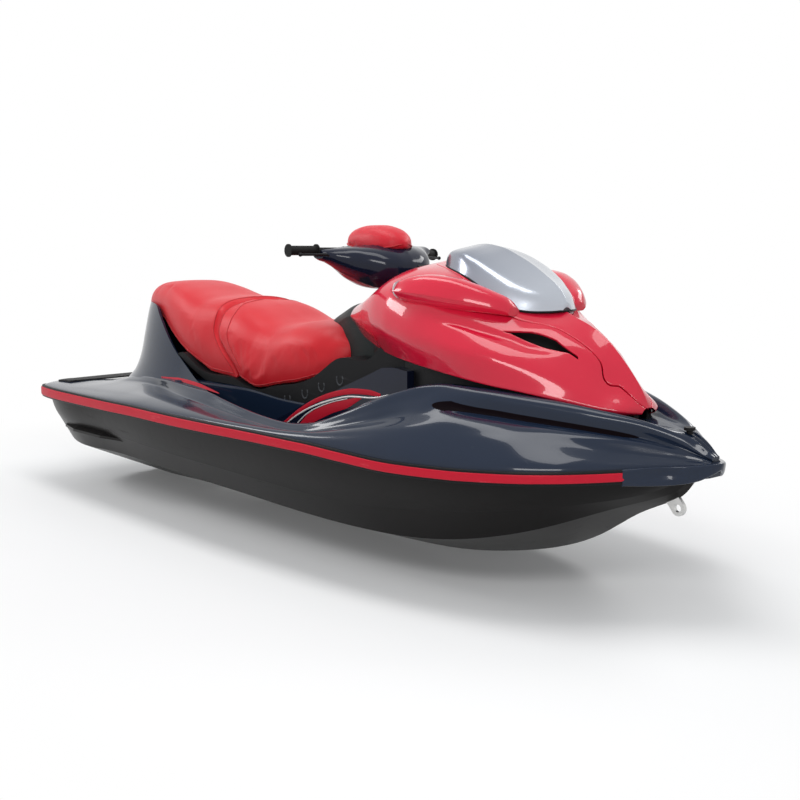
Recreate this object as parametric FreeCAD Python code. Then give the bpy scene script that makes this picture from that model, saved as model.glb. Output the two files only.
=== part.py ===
import FreeCAD, Part
import math
import os

# A sit down personal watercraft, built from its moulded hull and deck upwards.
# X points to the bow, Y to port and Z up. Heights are measured from the keel while
# the pieces are shaped, and each piece is lowered by the draft when it is written,
# so the origin lies amidships on the centre line in the plane of the waterline.

os.makedirs("parts", exist_ok=True)

Vector = FreeCAD.Vector
along = Vector(1, 0, 0)
across = Vector(0, 1, 0)
upright = Vector(0, 0, 1)

# Driving dimensions of the whole craft, in millimetres
half_length = 1650.0
half_beam = 600.0
tall = 1157.0
draft = 245.0
overrun = 20.0

# Rail, flange and shell sizes
rail_depth = 10.0
rail_tall = 48.0
insert_depth = 4.0
insert_tall = 34.0
flange_tall = 40.0
deck_half_beam = half_beam - rail_depth - insert_depth
deck_joint_shares = [-0.470, 0.300]
tub_wall = 12.0

# Hull stations: place, keel height, chine, spray line and rail, each as half width and height
hull_shares = [
    (-0.955, 0.052, 0.550, 0.233, 0.667, 0.285, 0.758, 0.350),
    (-0.936, 0.013, 0.667, 0.186, 0.758, 0.259, 0.833, 0.353),
    (-0.891, 0.000, 0.717, 0.166, 0.817, 0.252, 0.883, 0.355),
    (-0.697, 0.000, 0.742, 0.162, 0.858, 0.251, 0.913, 0.360),
    (-0.424, 0.000, 0.750, 0.156, 0.883, 0.242, 0.943, 0.365),
    (-0.121, 0.000, 0.750, 0.147, 0.883, 0.232, 0.963, 0.370),
    (0.182, 0.003, 0.745, 0.137, 0.853, 0.220, 0.955, 0.372),
    (0.364, 0.019, 0.733, 0.140, 0.820, 0.221, 0.925, 0.366),
    (0.515, 0.057, 0.692, 0.154, 0.770, 0.242, 0.875, 0.364),
    (0.636, 0.104, 0.600, 0.183, 0.692, 0.259, 0.795, 0.366),
    (0.739, 0.169, 0.430, 0.226, 0.545, 0.282, 0.672, 0.374),
    (0.824, 0.247, 0.210, 0.277, 0.320, 0.304, 0.468, 0.382),
    (0.891, 0.294, 0.085, 0.313, 0.150, 0.332, 0.268, 0.388),
    (0.945, 0.361, 0.035, 0.372, 0.065, 0.382, 0.120, 0.394),
]

# Deck stations: place, then edge, flank, ridge and shelf as half width and height, middle height
deck_shares = [
    (-0.994, 0.783, 0.370, 0.733, 0.375, 0.567, 0.378, 0.333, 0.378, 0.378),
    (-0.958, 0.858, 0.372, 0.783, 0.379, 0.600, 0.384, 0.350, 0.384, 0.384),
    (-0.848, 0.908, 0.373, 0.800, 0.384, 0.617, 0.391, 0.358, 0.391, 0.391),
    (-0.697, 0.938, 0.377, 0.783, 0.393, 0.575, 0.413, 0.375, 0.424, 0.425),
    (-0.545, 0.962, 0.381, 0.800, 0.403, 0.550, 0.439, 0.400, 0.443, 0.443),
    (-0.394, 0.978, 0.385, 0.833, 0.411, 0.608, 0.453, 0.500, 0.453, 0.453),
    (-0.242, 0.992, 0.386, 0.883, 0.410, 0.700, 0.451, 0.617, 0.453, 0.453),
    (-0.061, 1.000, 0.390, 0.933, 0.404, 0.770, 0.427, 0.692, 0.430, 0.436),
    (0.121, 0.993, 0.393, 0.937, 0.408, 0.808, 0.420, 0.725, 0.425, 0.436),
    (0.242, 0.983, 0.393, 0.930, 0.420, 0.812, 0.447, 0.717, 0.455, 0.464),
    (0.364, 0.963, 0.388, 0.890, 0.445, 0.765, 0.512, 0.660, 0.522, 0.530),
    (0.485, 0.927, 0.382, 0.810, 0.477, 0.660, 0.568, 0.560, 0.570, 0.572),
    (0.606, 0.852, 0.384, 0.660, 0.489, 0.500, 0.572, 0.410, 0.566, 0.567),
    (0.715, 0.754, 0.391, 0.480, 0.480, 0.360, 0.553, 0.280, 0.542, 0.540),
    (0.800, 0.590, 0.396, 0.345, 0.470, 0.270, 0.538, 0.200, 0.512, 0.508),
    (0.845, 0.454, 0.399, 0.255, 0.461, 0.200, 0.526, 0.140, 0.500, 0.496),
    (0.882, 0.339, 0.403, 0.185, 0.453, 0.145, 0.514, 0.095, 0.497, 0.494),
    (0.925, 0.215, 0.407, 0.110, 0.443, 0.075, 0.495, 0.045, 0.490, 0.488),
    (0.964, 0.107, 0.412, 0.062, 0.432, 0.045, 0.466, 0.028, 0.464, 0.464),
    (0.989, 0.045, 0.418, 0.036, 0.424, 0.026, 0.438, 0.016, 0.436, 0.436),
]

# Hood stations: place, then foot, side, shoulder and top as half width and height, crown height
hood_shares = [
    (0.094, 0.213, 0.697, 0.250, 0.717, 0.213, 0.745, 0.133, 0.760, 0.764),
    (0.158, 0.295, 0.667, 0.353, 0.717, 0.326, 0.760, 0.181, 0.778, 0.782),
    (0.206, 0.350, 0.655, 0.428, 0.722, 0.398, 0.778, 0.217, 0.796, 0.800),
    (0.236, 0.383, 0.648, 0.466, 0.722, 0.432, 0.792, 0.240, 0.826, 0.834),
    (0.267, 0.415, 0.640, 0.502, 0.721, 0.464, 0.802, 0.260, 0.862, 0.880),
    (0.300, 0.446, 0.635, 0.532, 0.717, 0.488, 0.804, 0.278, 0.873, 0.897),
    (0.339, 0.478, 0.630, 0.560, 0.711, 0.510, 0.803, 0.292, 0.876, 0.899),
    (0.424, 0.527, 0.620, 0.585, 0.696, 0.520, 0.793, 0.310, 0.868, 0.888),
    (0.495, 0.535, 0.609, 0.580, 0.683, 0.475, 0.771, 0.288, 0.844, 0.866),
    (0.555, 0.525, 0.599, 0.550, 0.667, 0.410, 0.742, 0.225, 0.806, 0.830),
    (0.605, 0.490, 0.589, 0.490, 0.651, 0.350, 0.713, 0.166, 0.768, 0.794),
    (0.650, 0.430, 0.579, 0.415, 0.632, 0.295, 0.689, 0.130, 0.738, 0.764),
    (0.700, 0.360, 0.566, 0.328, 0.610, 0.228, 0.658, 0.098, 0.705, 0.738),
    (0.745, 0.285, 0.553, 0.245, 0.584, 0.168, 0.621, 0.071, 0.668, 0.700),
    (0.785, 0.215, 0.541, 0.178, 0.558, 0.120, 0.581, 0.049, 0.622, 0.648),
    (0.815, 0.160, 0.535, 0.135, 0.545, 0.092, 0.558, 0.038, 0.580, 0.598),
    (0.838, 0.115, 0.530, 0.100, 0.536, 0.068, 0.543, 0.028, 0.551, 0.556),
]

# Front lid: half width of its outline along the craft, and the part of the slip its opening gets there
lid_outline_shares = [
    (0.327, 0.130, 0.0), (0.388, 0.215, 0.0), (0.442, 0.270, 0.0), (0.505, 0.312, 0.0), (0.550, 0.308, 0.5),
    (0.590, 0.264, 1.0), (0.625, 0.205, 1.0), (0.660, 0.155, 1.0), (0.710, 0.125, 1.0), (0.770, 0.100, 1.0),
    (0.838, 0.070, 1.0),
]
lid_gap = 5.0
lid_slip = 8.0
lid_wall = 10.0
plinth_inset = 34.0
plinth_rise = 14.0
plinth_depth = 96.0

# Windshield stations: place, base half width and height, cheek half width and height, crown height
shield_shares = [
    (0.332, 0.050, 0.885, 0.038, 0.897, 0.903),
    (0.350, 0.130, 0.888, 0.105, 0.912, 0.924),
    (0.380, 0.195, 0.884, 0.150, 0.926, 0.944),
    (0.420, 0.245, 0.876, 0.185, 0.928, 0.951),
    (0.465, 0.280, 0.862, 0.205, 0.914, 0.943),
    (0.510, 0.295, 0.837, 0.210, 0.888, 0.922),
    (0.550, 0.285, 0.803, 0.200, 0.858, 0.897),
    (0.585, 0.235, 0.778, 0.165, 0.834, 0.871),
    (0.612, 0.165, 0.772, 0.115, 0.818, 0.848),
    (0.636, 0.070, 0.774, 0.045, 0.803, 0.815),
]
shield_sink = 48.0

# Seats: top line, lower edge line and half width along the craft
seat_top_shares = [
    (-0.858, 0.640), (-0.840, 0.704), (-0.792, 0.743), (-0.727, 0.767), (-0.651, 0.775), (-0.578, 0.762),
    (-0.508, 0.740), (-0.462, 0.730), (-0.417, 0.732), (-0.362, 0.730), (-0.298, 0.716), (-0.246, 0.694),
    (-0.195, 0.671), (-0.155, 0.661), (-0.116, 0.669), (-0.060, 0.680), (0.010, 0.680), (0.067, 0.665),
    (0.109, 0.635),
]
seat_foot_shares = [
    (-0.858, 0.620), (-0.800, 0.678), (-0.730, 0.690), (-0.690, 0.680), (-0.640, 0.641), (-0.595, 0.598),
    (-0.506, 0.539), (-0.438, 0.505), (-0.372, 0.480), (-0.262, 0.476), (-0.191, 0.452), (-0.110, 0.474),
    (-0.042, 0.490), (0.048, 0.531), (0.093, 0.570), (0.109, 0.590),
]
seat_width_shares = [
    (-0.858, 0.080), (-0.836, 0.190), (-0.790, 0.275), (-0.720, 0.335), (-0.600, 0.385), (-0.500, 0.405),
    (-0.400, 0.410), (-0.300, 0.415), (-0.150, 0.415), (-0.040, 0.400), (0.048, 0.360), (0.109, 0.290),
]
seat_split_shares = [
    (-0.398, 0.0), (-0.382, 0.133), (-0.368, 0.250), (-0.362, 0.367), (-0.310, 0.410), (-0.262, 0.440),
]
seat_seam_gap = 4.0
seat_lift = 0.3

# Tail surround: its rounded outline at several heights, as rear end and half widths at the
# middle and the front, and the line of its upper edge
tail_level_shares = [
    (0.330, -0.885, 0.558, 0.560), (0.400, -0.867, 0.538, 0.542), (0.440, -0.845, 0.490, 0.502),
    (0.500, -0.830, 0.456, 0.477), (0.580, -0.824, 0.437, 0.460), (0.720, -0.818, 0.396, 0.433),
]
tail_edge_shares = [
    (-0.900, 0.640), (-0.820, 0.672), (-0.750, 0.700), (-0.690, 0.698), (-0.640, 0.655), (-0.580, 0.592),
    (-0.520, 0.535), (-0.460, 0.492), (-0.400, 0.458), (-0.330, 0.430), (-0.240, 0.402),
]
tail_middle_share = -0.500
tail_front_share = -0.262
tail_power = 2.3
tail_points = 8
trim_foot_share = 0.330

# Seat base under both seats, and the knee panels at its sides
base_shares = [
    (-0.600, 0.598), (-0.506, 0.539), (-0.438, 0.505), (-0.372, 0.480), (-0.262, 0.476), (-0.191, 0.452),
    (-0.110, 0.474), (-0.042, 0.490), (0.048, 0.531), (0.093, 0.570), (0.130, 0.596), (0.230, 0.606),
    (0.345, 0.606),
]
base_width_share = 0.425
knee_outline_shares = [
    (-0.075, 0.370), (0.000, 0.415), (0.062, 0.458), (0.133, 0.490), (0.184, 0.522), (0.250, 0.560),
    (0.303, 0.592), (0.340, 0.597), (0.380, 0.592), (0.380, 0.300), (-0.075, 0.300),
]
knee_width_share = 0.500
knee_thick = 46.0

# Footwells, with a floor below the rail: place, inner and outer half width, floor height
well_shares = [
    (-0.455, 0.500, 0.530, 0.425), (-0.440, 0.499, 0.540, 0.345), (-0.425, 0.498, 0.550, 0.305),
    (-0.350, 0.495, 0.600, 0.300), (-0.260, 0.470, 0.660, 0.300), (-0.200, 0.440, 0.700, 0.300),
    (-0.050, 0.440, 0.735, 0.300), (0.100, 0.440, 0.750, 0.300), (0.230, 0.440, 0.735, 0.300),
    (0.270, 0.440, 0.700, 0.420),
]
well_top_share = 0.600
mat_thick = 6.0
mat_margin = 18.0
rear_mat_shares = [(-0.978, 0.600), (-0.972, 0.700), (-0.905, 0.700), (-0.898, 0.600)]

# Console in front of the seat
console_shares = [
    (-0.070, 0.040, 0.683), (-0.030, 0.110, 0.706), (0.030, 0.185, 0.735), (0.067, 0.225, 0.752),
    (0.106, 0.250, 0.762), (0.190, 0.262, 0.764), (0.260, 0.262, 0.760),
]
console_foot_share = 0.520

# Storage bin under the lid
bin_length = 240.0
bin_width = 240.0
bin_floor_share = 0.455
bin_top_share = 0.715
bin_middle_share = 0.525
bin_wall = 5.0
bin_rim = 12.0

# Steering: column, bar, cover and what the hands hold
column_foot_share = 0.115
column_foot_height_share = 0.760
column_lean = 25.0
column_diameter = 44.0
column_clearance = 0.3
column_sunk = 70.0
column_collar = 58.0
steer_at_rest = 6.0
bar_height = 200.0
bar_diameter = 22.0
bar_half_span = 388.0
bar_knee_share = 0.35
bar_sweep = 40.0
bar_drop = 6.0
grip_diameter = 34.0
grip_length = 118.0
grip_flange = 46.0
flange_wide = 5.0
lever_length = 120.0
lever_thick = 9.0
lever_reach = 34.0
clamp_wide = 18.0

# Cover and pad stations in bar heights about the bar's middle: half span, back, front, low, high
cover_shares = [
    (0.00, -0.50, 1.15, -0.70, 0.22),
    (0.45, -0.48, 1.12, -0.60, 0.20),
    (0.80, -0.36, 0.84, -0.36, 0.14),
    (1.08, -0.24, 0.44, -0.20, 0.10),
    (1.30, -0.15, 0.16, -0.12, 0.08),
]
pad_shares = [
    (0.00, -0.56, 1.04, 0.00, 0.485),
    (0.30, -0.52, 1.00, 0.00, 0.450),
    (0.52, -0.40, 0.84, 0.00, 0.360),
    (0.66, -0.20, 0.58, 0.00, 0.260),
]
oval_points = 12
oval_power = 0.9

# Gauge panel on the rear face of the cowl
gauge_width = 150.0
gauge_deep = 74.0
gauge_thick = 16.0
gauge_place_share = 0.252
gauge_height_share = 0.856
gauge_lean = 48.0

# Mirror pod stations: place, outer and inner half width, low and high
pod_shares = [
    (0.350, 0.560, 0.430, 0.815, 0.831),
    (0.366, 0.572, 0.400, 0.800, 0.851),
    (0.395, 0.574, 0.370, 0.790, 0.863),
    (0.438, 0.560, 0.345, 0.782, 0.868),
    (0.480, 0.530, 0.325, 0.776, 0.863),
    (0.520, 0.480, 0.300, 0.773, 0.848),
    (0.555, 0.415, 0.260, 0.770, 0.828),
    (0.588, 0.330, 0.220, 0.766, 0.804),
]
mirror_thick = 5.0

# Air vents in the sides of the hood, as an outline seen from the side
vent_shares = [
    (0.592, 0.724), (0.628, 0.724), (0.660, 0.714), (0.685, 0.692), (0.718, 0.664), (0.668, 0.681), (0.628, 0.702),
]
vent_inner_share = 0.225
vent_liner = 12.0

# Jet drive
pump_height = 150.0
pump_front_share = -0.620
pump_bore = 156.0
pump_wall = 10.0
pump_length = 260.0
pump_flange = 12.0
pump_web = 143.0
outlet_taper = 60.0
outlet_straight = 60.0
tunnel_half_width = 172.0
tunnel_roof = 372.0
intake_length = 470.0
impeller_clearance = 5.0
impeller_hub = 56.0
impeller_length = 76.0
blade_thick = 5.0
blade_pitch = 42.0
blade_count = 4
vane_count = 5
shaft_diameter = 28.0
shaft_clearance = 0.5
shaft_ahead = 262.0
journal_length = 30.0
nozzle_diameter = 92.0
nozzle_wall = 6.0
nozzle_mouth = 144.0
nozzle_length = 100.0
nozzle_cover = 12.0
nozzle_ratio = 0.8
pivot_setback = 24.0
pivot_diameter = 12.0
pivot_head = 10.0
pin_clearance = 0.3
bucket_radius = 187.0
bucket_wall = 7.0
bucket_arm = 8.0
bucket_half_width = 120.0
bucket_low_angle = 62.0
bucket_high_angle = 115.0
bucket_boss = 34.0
bucket_pivot_setback = 37.0
plate_thick = 12.0
plate_end_share = -0.900
grate_bar = 10.0
grate_count = 3
grate_frame = 14.0

# Engine block, one plain mass in its bay
engine_length = 640.0
engine_width = 360.0
engine_tall = 250.0
engine_middle_share = 0.030
engine_floor_share = 0.118
bay_margin = 22.0

# Small fittings
eye_diameter = 48.0
eye_thick = 12.0
eye_bore = 24.0
eye_setback = 26.0
bow_eye_share = 0.914
bow_eye_height_share = 0.285
bow_eye_turn = -130.0
stern_eye_share = 0.600
stern_eye_height_share = 0.318
knob_diameter = 34.0
knob_neck = 20.0
knob_tall = 18.0
knob_share = 0.932
plug_diameter = 34.0
plug_tall = 10.0
plug_share = 0.420
plug_height_share = 0.262
sponson_shares = [(-0.860, 0.20), (-0.780, 1.0), (-0.640, 1.0), (-0.540, 0.20)]
sponson_wide = 40.0
sponson_tall = 52.0
sponson_height_share = 0.218
sponson_width_share = 0.800
hinge_pin = 8.0
hinge_barrel = 18.0
hinge_span = 84.0
hinge_middle = 36.0
hinge_gap = 1.0
hinge_share = 0.822
hinge_height_share = 0.524
hinge_arm = 32.0
bumper_thick = 22.0
bumper_tall = 66.0
bumper_start_share = 0.882
bumper_narrow_share = 0.860
bumper_section_shares = [
    (0.0, 0.80, 0.0), (0.35, 0.92, 0.05), (0.65, 1.0, 0.12), (0.85, 1.0, 0.16), (1.0, 0.72, 0.18),
]


def at_x(share):
    return share * half_length


def at_y(share):
    return share * half_beam


def at_z(share):
    return share * tall


# A smooth curve through rows of (place, value) that never overshoots its rows
def flow(rows, place, column=1):
    places = [row[0] for row in rows]
    values = [row[column] for row in rows]
    if place <= places[0]:
        return values[0]
    if place >= places[-1]:
        return values[-1]
    gaps = [b - a for a, b in zip(places, places[1:])]
    steps = [(b - a) / gap for a, b, gap in zip(values, values[1:], gaps)]
    slopes = [steps[0]]
    for before, after in zip(steps, steps[1:]):
        slopes.append(0.0 if before * after <= 0 else 2 * before * after / (before + after))
    slopes.append(steps[-1])
    index = max(i for i in range(len(gaps)) if places[i] <= place)
    rise = gaps[index]
    t = (place - places[index]) / rise
    return (values[index] * (2 * t ** 3 - 3 * t ** 2 + 1) + slopes[index] * rise * (t ** 3 - 2 * t ** 2 + t)
            + values[index + 1] * (3 * t ** 2 - 2 * t ** 3) + slopes[index + 1] * rise * (t ** 3 - t ** 2))


def edge(points):
    if len(points) == 2:
        return Part.LineSegment(points[0], points[1]).toShape()
    curve = Part.BSplineCurve()
    curve.interpolate(points)
    return curve.toShape()


# A closed section across the craft from half runs that go from the bottom centre to the top centre.
# The last run and its mirror image join into one smooth crown.
def section(x, runs):
    sides = [[Vector(x, y, z) for y, z in run] for run in runs]
    mirrored = [[Vector(x, -y, z) for y, z in reversed(run)] for run in runs]
    edges = [edge(run) for run in sides[:-1]]
    edges.append(edge(sides[-1] + mirrored[-1][1:]))
    edges += [edge(run) for run in reversed(mirrored[:-1])]
    return Part.Wire(edges)


def ring(points):
    return Part.Wire([edge([a, b]) for a, b in zip(points, points[1:] + points[:1])])


def loop(points):
    curve = Part.BSplineCurve()
    curve.interpolate(points, True)
    return Part.Wire([curve.toShape()])


def loft(wires, ruled=False):
    return Part.makeLoft(wires, True, ruled)


def rod(start, end, diameter):
    line = end - start
    return Part.makeCylinder(diameter / 2, line.Length, start, line)


def cone(start, end, wide, slim):
    line = end - start
    return Part.makeCone(wide / 2, slim / 2, line.Length, start, line)


# A box between any two opposite corners
def box(one, other):
    low = Vector(min(one.x, other.x), min(one.y, other.y), min(one.z, other.z))
    return Part.makeBox(abs(one.x - other.x), abs(one.y - other.y), abs(one.z - other.z), low)


# A solid between two widths from an outline in the XZ plane
def slab(outline, y_low, y_high):
    face = Part.Face(ring([Vector(x, y_low, z) for x, z in outline]))
    return face.extrude(across * (y_high - y_low))


# An upright solid from an outline in the XY plane
def pillar(outline, z_low, z_high):
    face = Part.Face(ring([Vector(x, y, z_low) for x, y in outline]))
    return face.extrude(upright * (z_high - z_low))


def mirrored(shape):
    return shape.mirror(Vector(0, 0, 0), across)


def pair(shape):
    return Part.makeCompound([shape, mirrored(shape)])


def joined(shapes):
    return shapes[0].fuse(shapes[1:])


def biggest(shape):
    return max(shape.Solids, key=lambda solid: solid.Volume)


# A solid cut across into lengths that meet at the given places
def lengths(shape, shares):
    places = [-half_length - overrun] + [at_x(share) for share in shares] + [half_length + overrun]
    rooms = [box(Vector(low, -half_beam, -overrun), Vector(high, half_beam, tall))
             for low, high in zip(places, places[1:])]
    return Part.makeCompound([biggest(shape.common(room)) for room in rooms])


def write(name, shape):
    placed = shape.copy()
    placed.translate(upright * -draft)
    placed.exportStep("parts/" + name + ".step")
    print(name, len(placed.Solids), placed.isValid(), round(placed.Volume))


def hull_section(row):
    x = at_x(row[0])
    keel = (0.0, at_z(row[1]))
    chine = (row[2] * deck_half_beam, at_z(row[3]))
    spray = (row[4] * deck_half_beam, at_z(row[5]))
    rail = (row[6] * deck_half_beam, at_z(row[7]))
    bulge = ((spray[0] + rail[0]) / 2 + rail_depth, (spray[1] + rail[1]) / 2)
    return section(x, [[keel, chine], [chine, spray], [spray, bulge, rail], [rail, (0.0, rail[1])]])


def deck_section(row):
    x = at_x(row[0])
    rim, flank, ridge, shelf = [(row[i] * deck_half_beam, at_z(row[i + 1])) for i in (1, 3, 5, 7)]
    low = rim[1] - flange_tall
    return section(x, [[(0.0, low), (rim[0], low)], [(rim[0], low), rim], [rim, flank, ridge],
                       [ridge, shelf], [shelf, (0.0, at_z(row[9]))]])


def hood_section(row):
    x = at_x(row[0])
    foot, side, shoulder, top = [(at_y(row[i]), at_z(row[i + 1])) for i in (1, 3, 5, 7)]
    return section(x, [[(0.0, foot[1]), foot], [foot, side, shoulder], [shoulder, top, (0.0, at_z(row[9]))]])


# The dark plinth that carries the hood and shows as a shadow gap below its edge
def plinth_section(row):
    x = at_x(row[0])
    wide = at_y(row[1]) - plinth_inset
    low = at_z(row[2]) - plinth_depth
    high = at_z(row[2]) + plinth_rise
    return section(x, [[(0.0, low), (wide, low)], [(wide, low), (wide, high)], [(wide, high), (0.0, high)]])


def shield_section(row):
    x = at_x(row[0])
    base = (at_y(row[1]), at_z(row[2]))
    cheek = (at_y(row[3]), at_z(row[4]))
    sunk = base[1] - shield_sink
    return section(x, [[(0.0, sunk), (base[0], sunk)], [(base[0], sunk), base],
                       [base, cheek, (0.0, at_z(row[5]))]])


# A strip that follows the edge of the deck on the port side
def rail_strip(inner, outer, height):
    wires = []
    for row in deck_shares:
        if row[0] > bumper_start_share:
            continue
        x = at_x(row[0])
        y = row[1] * deck_half_beam
        low = at_z(row[2]) - (flange_tall + height) / 2
        corners = [(y + inner, low), (y + outer, low), (y + outer, low + height), (y + inner, low + height)]
        wires.append(ring([Vector(x, a, b) for a, b in corners]))
    return loft(wires)


def make_bumper(deck, hull, rail):
    start = at_x(bumper_start_share) + lid_gap
    half = flow(deck_shares, bumper_start_share) * deck_half_beam
    middle = at_z(flow(deck_shares, bumper_start_share, 2)) - flange_tall / 2
    wires = []
    for share, tall_share, lift_share in bumper_section_shares:
        x = start + share * (half_length - start)
        y = half * (1 - share * bumper_narrow_share) + rail_depth
        low = middle + (lift_share - tall_share / 2) * bumper_tall
        high = middle + (lift_share + tall_share / 2) * bumper_tall
        wires.append(section(x, [[(0.0, low), (y - bumper_thick, low)],
                                 [(y - bumper_thick, low), (y, (low + high) / 2), (y - bumper_thick, high)],
                                 [(y - bumper_thick, high), (0.0, high)]]))
    return biggest(loft(wires).cut(deck).cut(hull).cut(pair(rail)))


# The port footwell, grown by a wall where the tub is wanted
def well_solid(grow):
    wires = []
    for place, inner, outer, floor_share in well_shares:
        x = at_x(place)
        if place == well_shares[0][0]:
            x -= grow
        if place == well_shares[-1][0]:
            x += grow
        floor = at_z(floor_share) - grow
        top = at_z(well_top_share)
        low_y = at_y(inner) - grow
        high_y = at_y(outer) + grow
        wires.append(ring([Vector(x, low_y, floor), Vector(x, high_y, floor),
                           Vector(x, high_y, top), Vector(x, low_y, top)]))
    return loft(wires, True)


def well_mat():
    wires = []
    for place, inner, outer, floor_share in well_shares[3:-1]:
        x = at_x(place)
        floor = at_z(floor_share)
        low_y = at_y(inner) + mat_margin
        high_y = at_y(outer) - mat_margin
        wires.append(ring([Vector(x, low_y, floor), Vector(x, high_y, floor),
                           Vector(x, high_y, floor + mat_thick), Vector(x, low_y, floor + mat_thick)]))
    return loft(wires, True)


def rear_mat(deck_loft):
    side = [(at_x(place), at_y(wide)) for place, wide in rear_mat_shares]
    outline = side + [(x, -y) for x, y in reversed(side)]
    return biggest(pillar(outline, 0.0, tall).common(deck_loft.translated(upright * mat_thick)).cut(deck_loft))


def seat_section(place):
    x = at_x(place)
    wide = at_y(flow(seat_width_shares, place))
    foot = at_z(flow(seat_foot_shares, place)) + seat_lift
    rise = at_z(flow(seat_top_shares, place)) - foot
    hem = (wide * 0.96, foot)
    waist = (wide * 0.93, foot + rise * 0.55)
    return section(x, [[(0.0, foot), hem], [hem, (wide, foot + rise * 0.22), waist],
                       [waist, (wide * 0.66, foot + rise * 0.87), (0.0, foot + rise)]])


# One side of the slanted cut between the two seats, moved along the craft by an offset
def seat_knife(offset):
    outline = [(at_x(place) + offset, at_y(wide)) for place, wide in seat_split_shares]
    outline.append((outline[-1][0], half_beam))
    outline += [(-half_length, half_beam), (-half_length, 0.0)]
    side = pillar(outline, 0.0, tall)
    return side.fuse(mirrored(side))


def make_seats(carriers):
    places = sorted({row[0] for row in seat_top_shares + seat_width_shares})
    whole = loft([seat_section(place) for place in places]).cut(carriers)
    rear = biggest(whole.common(seat_knife(-seat_seam_gap / 2)))
    front = biggest(whole.cut(seat_knife(seat_seam_gap / 2)))
    return front, rear


# One outline of the tail, seen from above: straight sides that run into a superellipse at the rear
def tail_outline(level_share, rear_share, wide_share, front_wide_share):
    z = at_z(level_share)
    middle = at_x(tail_middle_share)
    reach = middle - at_x(rear_share)
    side = [Vector(at_x(tail_front_share), at_y(front_wide_share), z)]
    for i in range(tail_points, -1, -1):
        turn = math.pi / 2 * i / tail_points
        side.append(Vector(middle - reach * math.cos(turn) ** (2 / tail_power),
                           at_y(wide_share) * math.sin(turn) ** (2 / tail_power), z))
    other = [Vector(point.x, -point.y, z) for point in reversed(side[:-1])]
    return Part.Wire([edge(side + other), edge([other[-1], side[0]])])


def make_tail(deck):
    whole = loft([tail_outline(*row) for row in tail_level_shares])
    line = [(at_x(place), at_z(high)) for place, high in tail_edge_shares]
    line += [(line[-1][0], 0.0), (line[0][0], 0.0)]
    return whole.common(slab(line, -half_beam, half_beam)).cut(deck)


def make_base(deck):
    wires = []
    wide = at_y(base_width_share)
    for place, high_share in base_shares:
        x = at_x(place)
        low = at_z(trim_foot_share)
        high = at_z(high_share)
        wires.append(section(x, [[(0.0, low), (wide, low)], [(wide, low), (wide, high)],
                                 [(wide, high), (0.0, high)]]))
    return loft(wires).cut(deck)


def make_console(base):
    wires = []
    for place, wide_share, high_share in console_shares:
        x = at_x(place)
        wide = at_y(wide_share)
        high = at_z(high_share)
        low = at_z(console_foot_share)
        wires.append(section(x, [[(0.0, low), (wide, low)], [(wide, low), (wide, high - rail_tall)],
                                 [(wide, high - rail_tall), (wide * 0.78, high - rail_tall / 4), (0.0, high)]]))
    return loft(wires).cut(base)


def column_line():
    lean = math.radians(column_lean)
    foot = Vector(at_x(column_foot_share), 0, at_z(column_foot_height_share))
    return foot, Vector(-math.sin(lean), 0, math.cos(lean))


# What turns with the bars is drawn straight ahead and then turned to the angle it rests at
def turned(shape):
    foot, axis = column_line()
    result = shape.copy()
    result.rotate(foot, axis, steer_at_rest)
    return result


def oval(middle, half_x, half_z):
    points = []
    for i in range(oval_points):
        turn = 2 * math.pi * i / oval_points
        reach = math.copysign(abs(math.cos(turn)) ** oval_power, math.cos(turn))
        lift = math.copysign(abs(math.sin(turn)) ** oval_power, math.sin(turn))
        points.append(middle + Vector(half_x * reach, 0, half_z * lift))
    return loop(points)


# A closed body across the bars from rows of half span, back, front, low and high in bar heights
def across_loft(rows, centre):
    stations = [(-row[0],) + row[1:] for row in reversed(rows[1:])] + rows
    wires = []
    for row in stations:
        span, back, front, low, high = [value * bar_height for value in row]
        middle = centre + Vector((back + front) / 2, span, (low + high) / 2)
        wires.append(oval(middle, (front - back) / 2, (high - low) / 2))
    return loft(wires)


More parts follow.
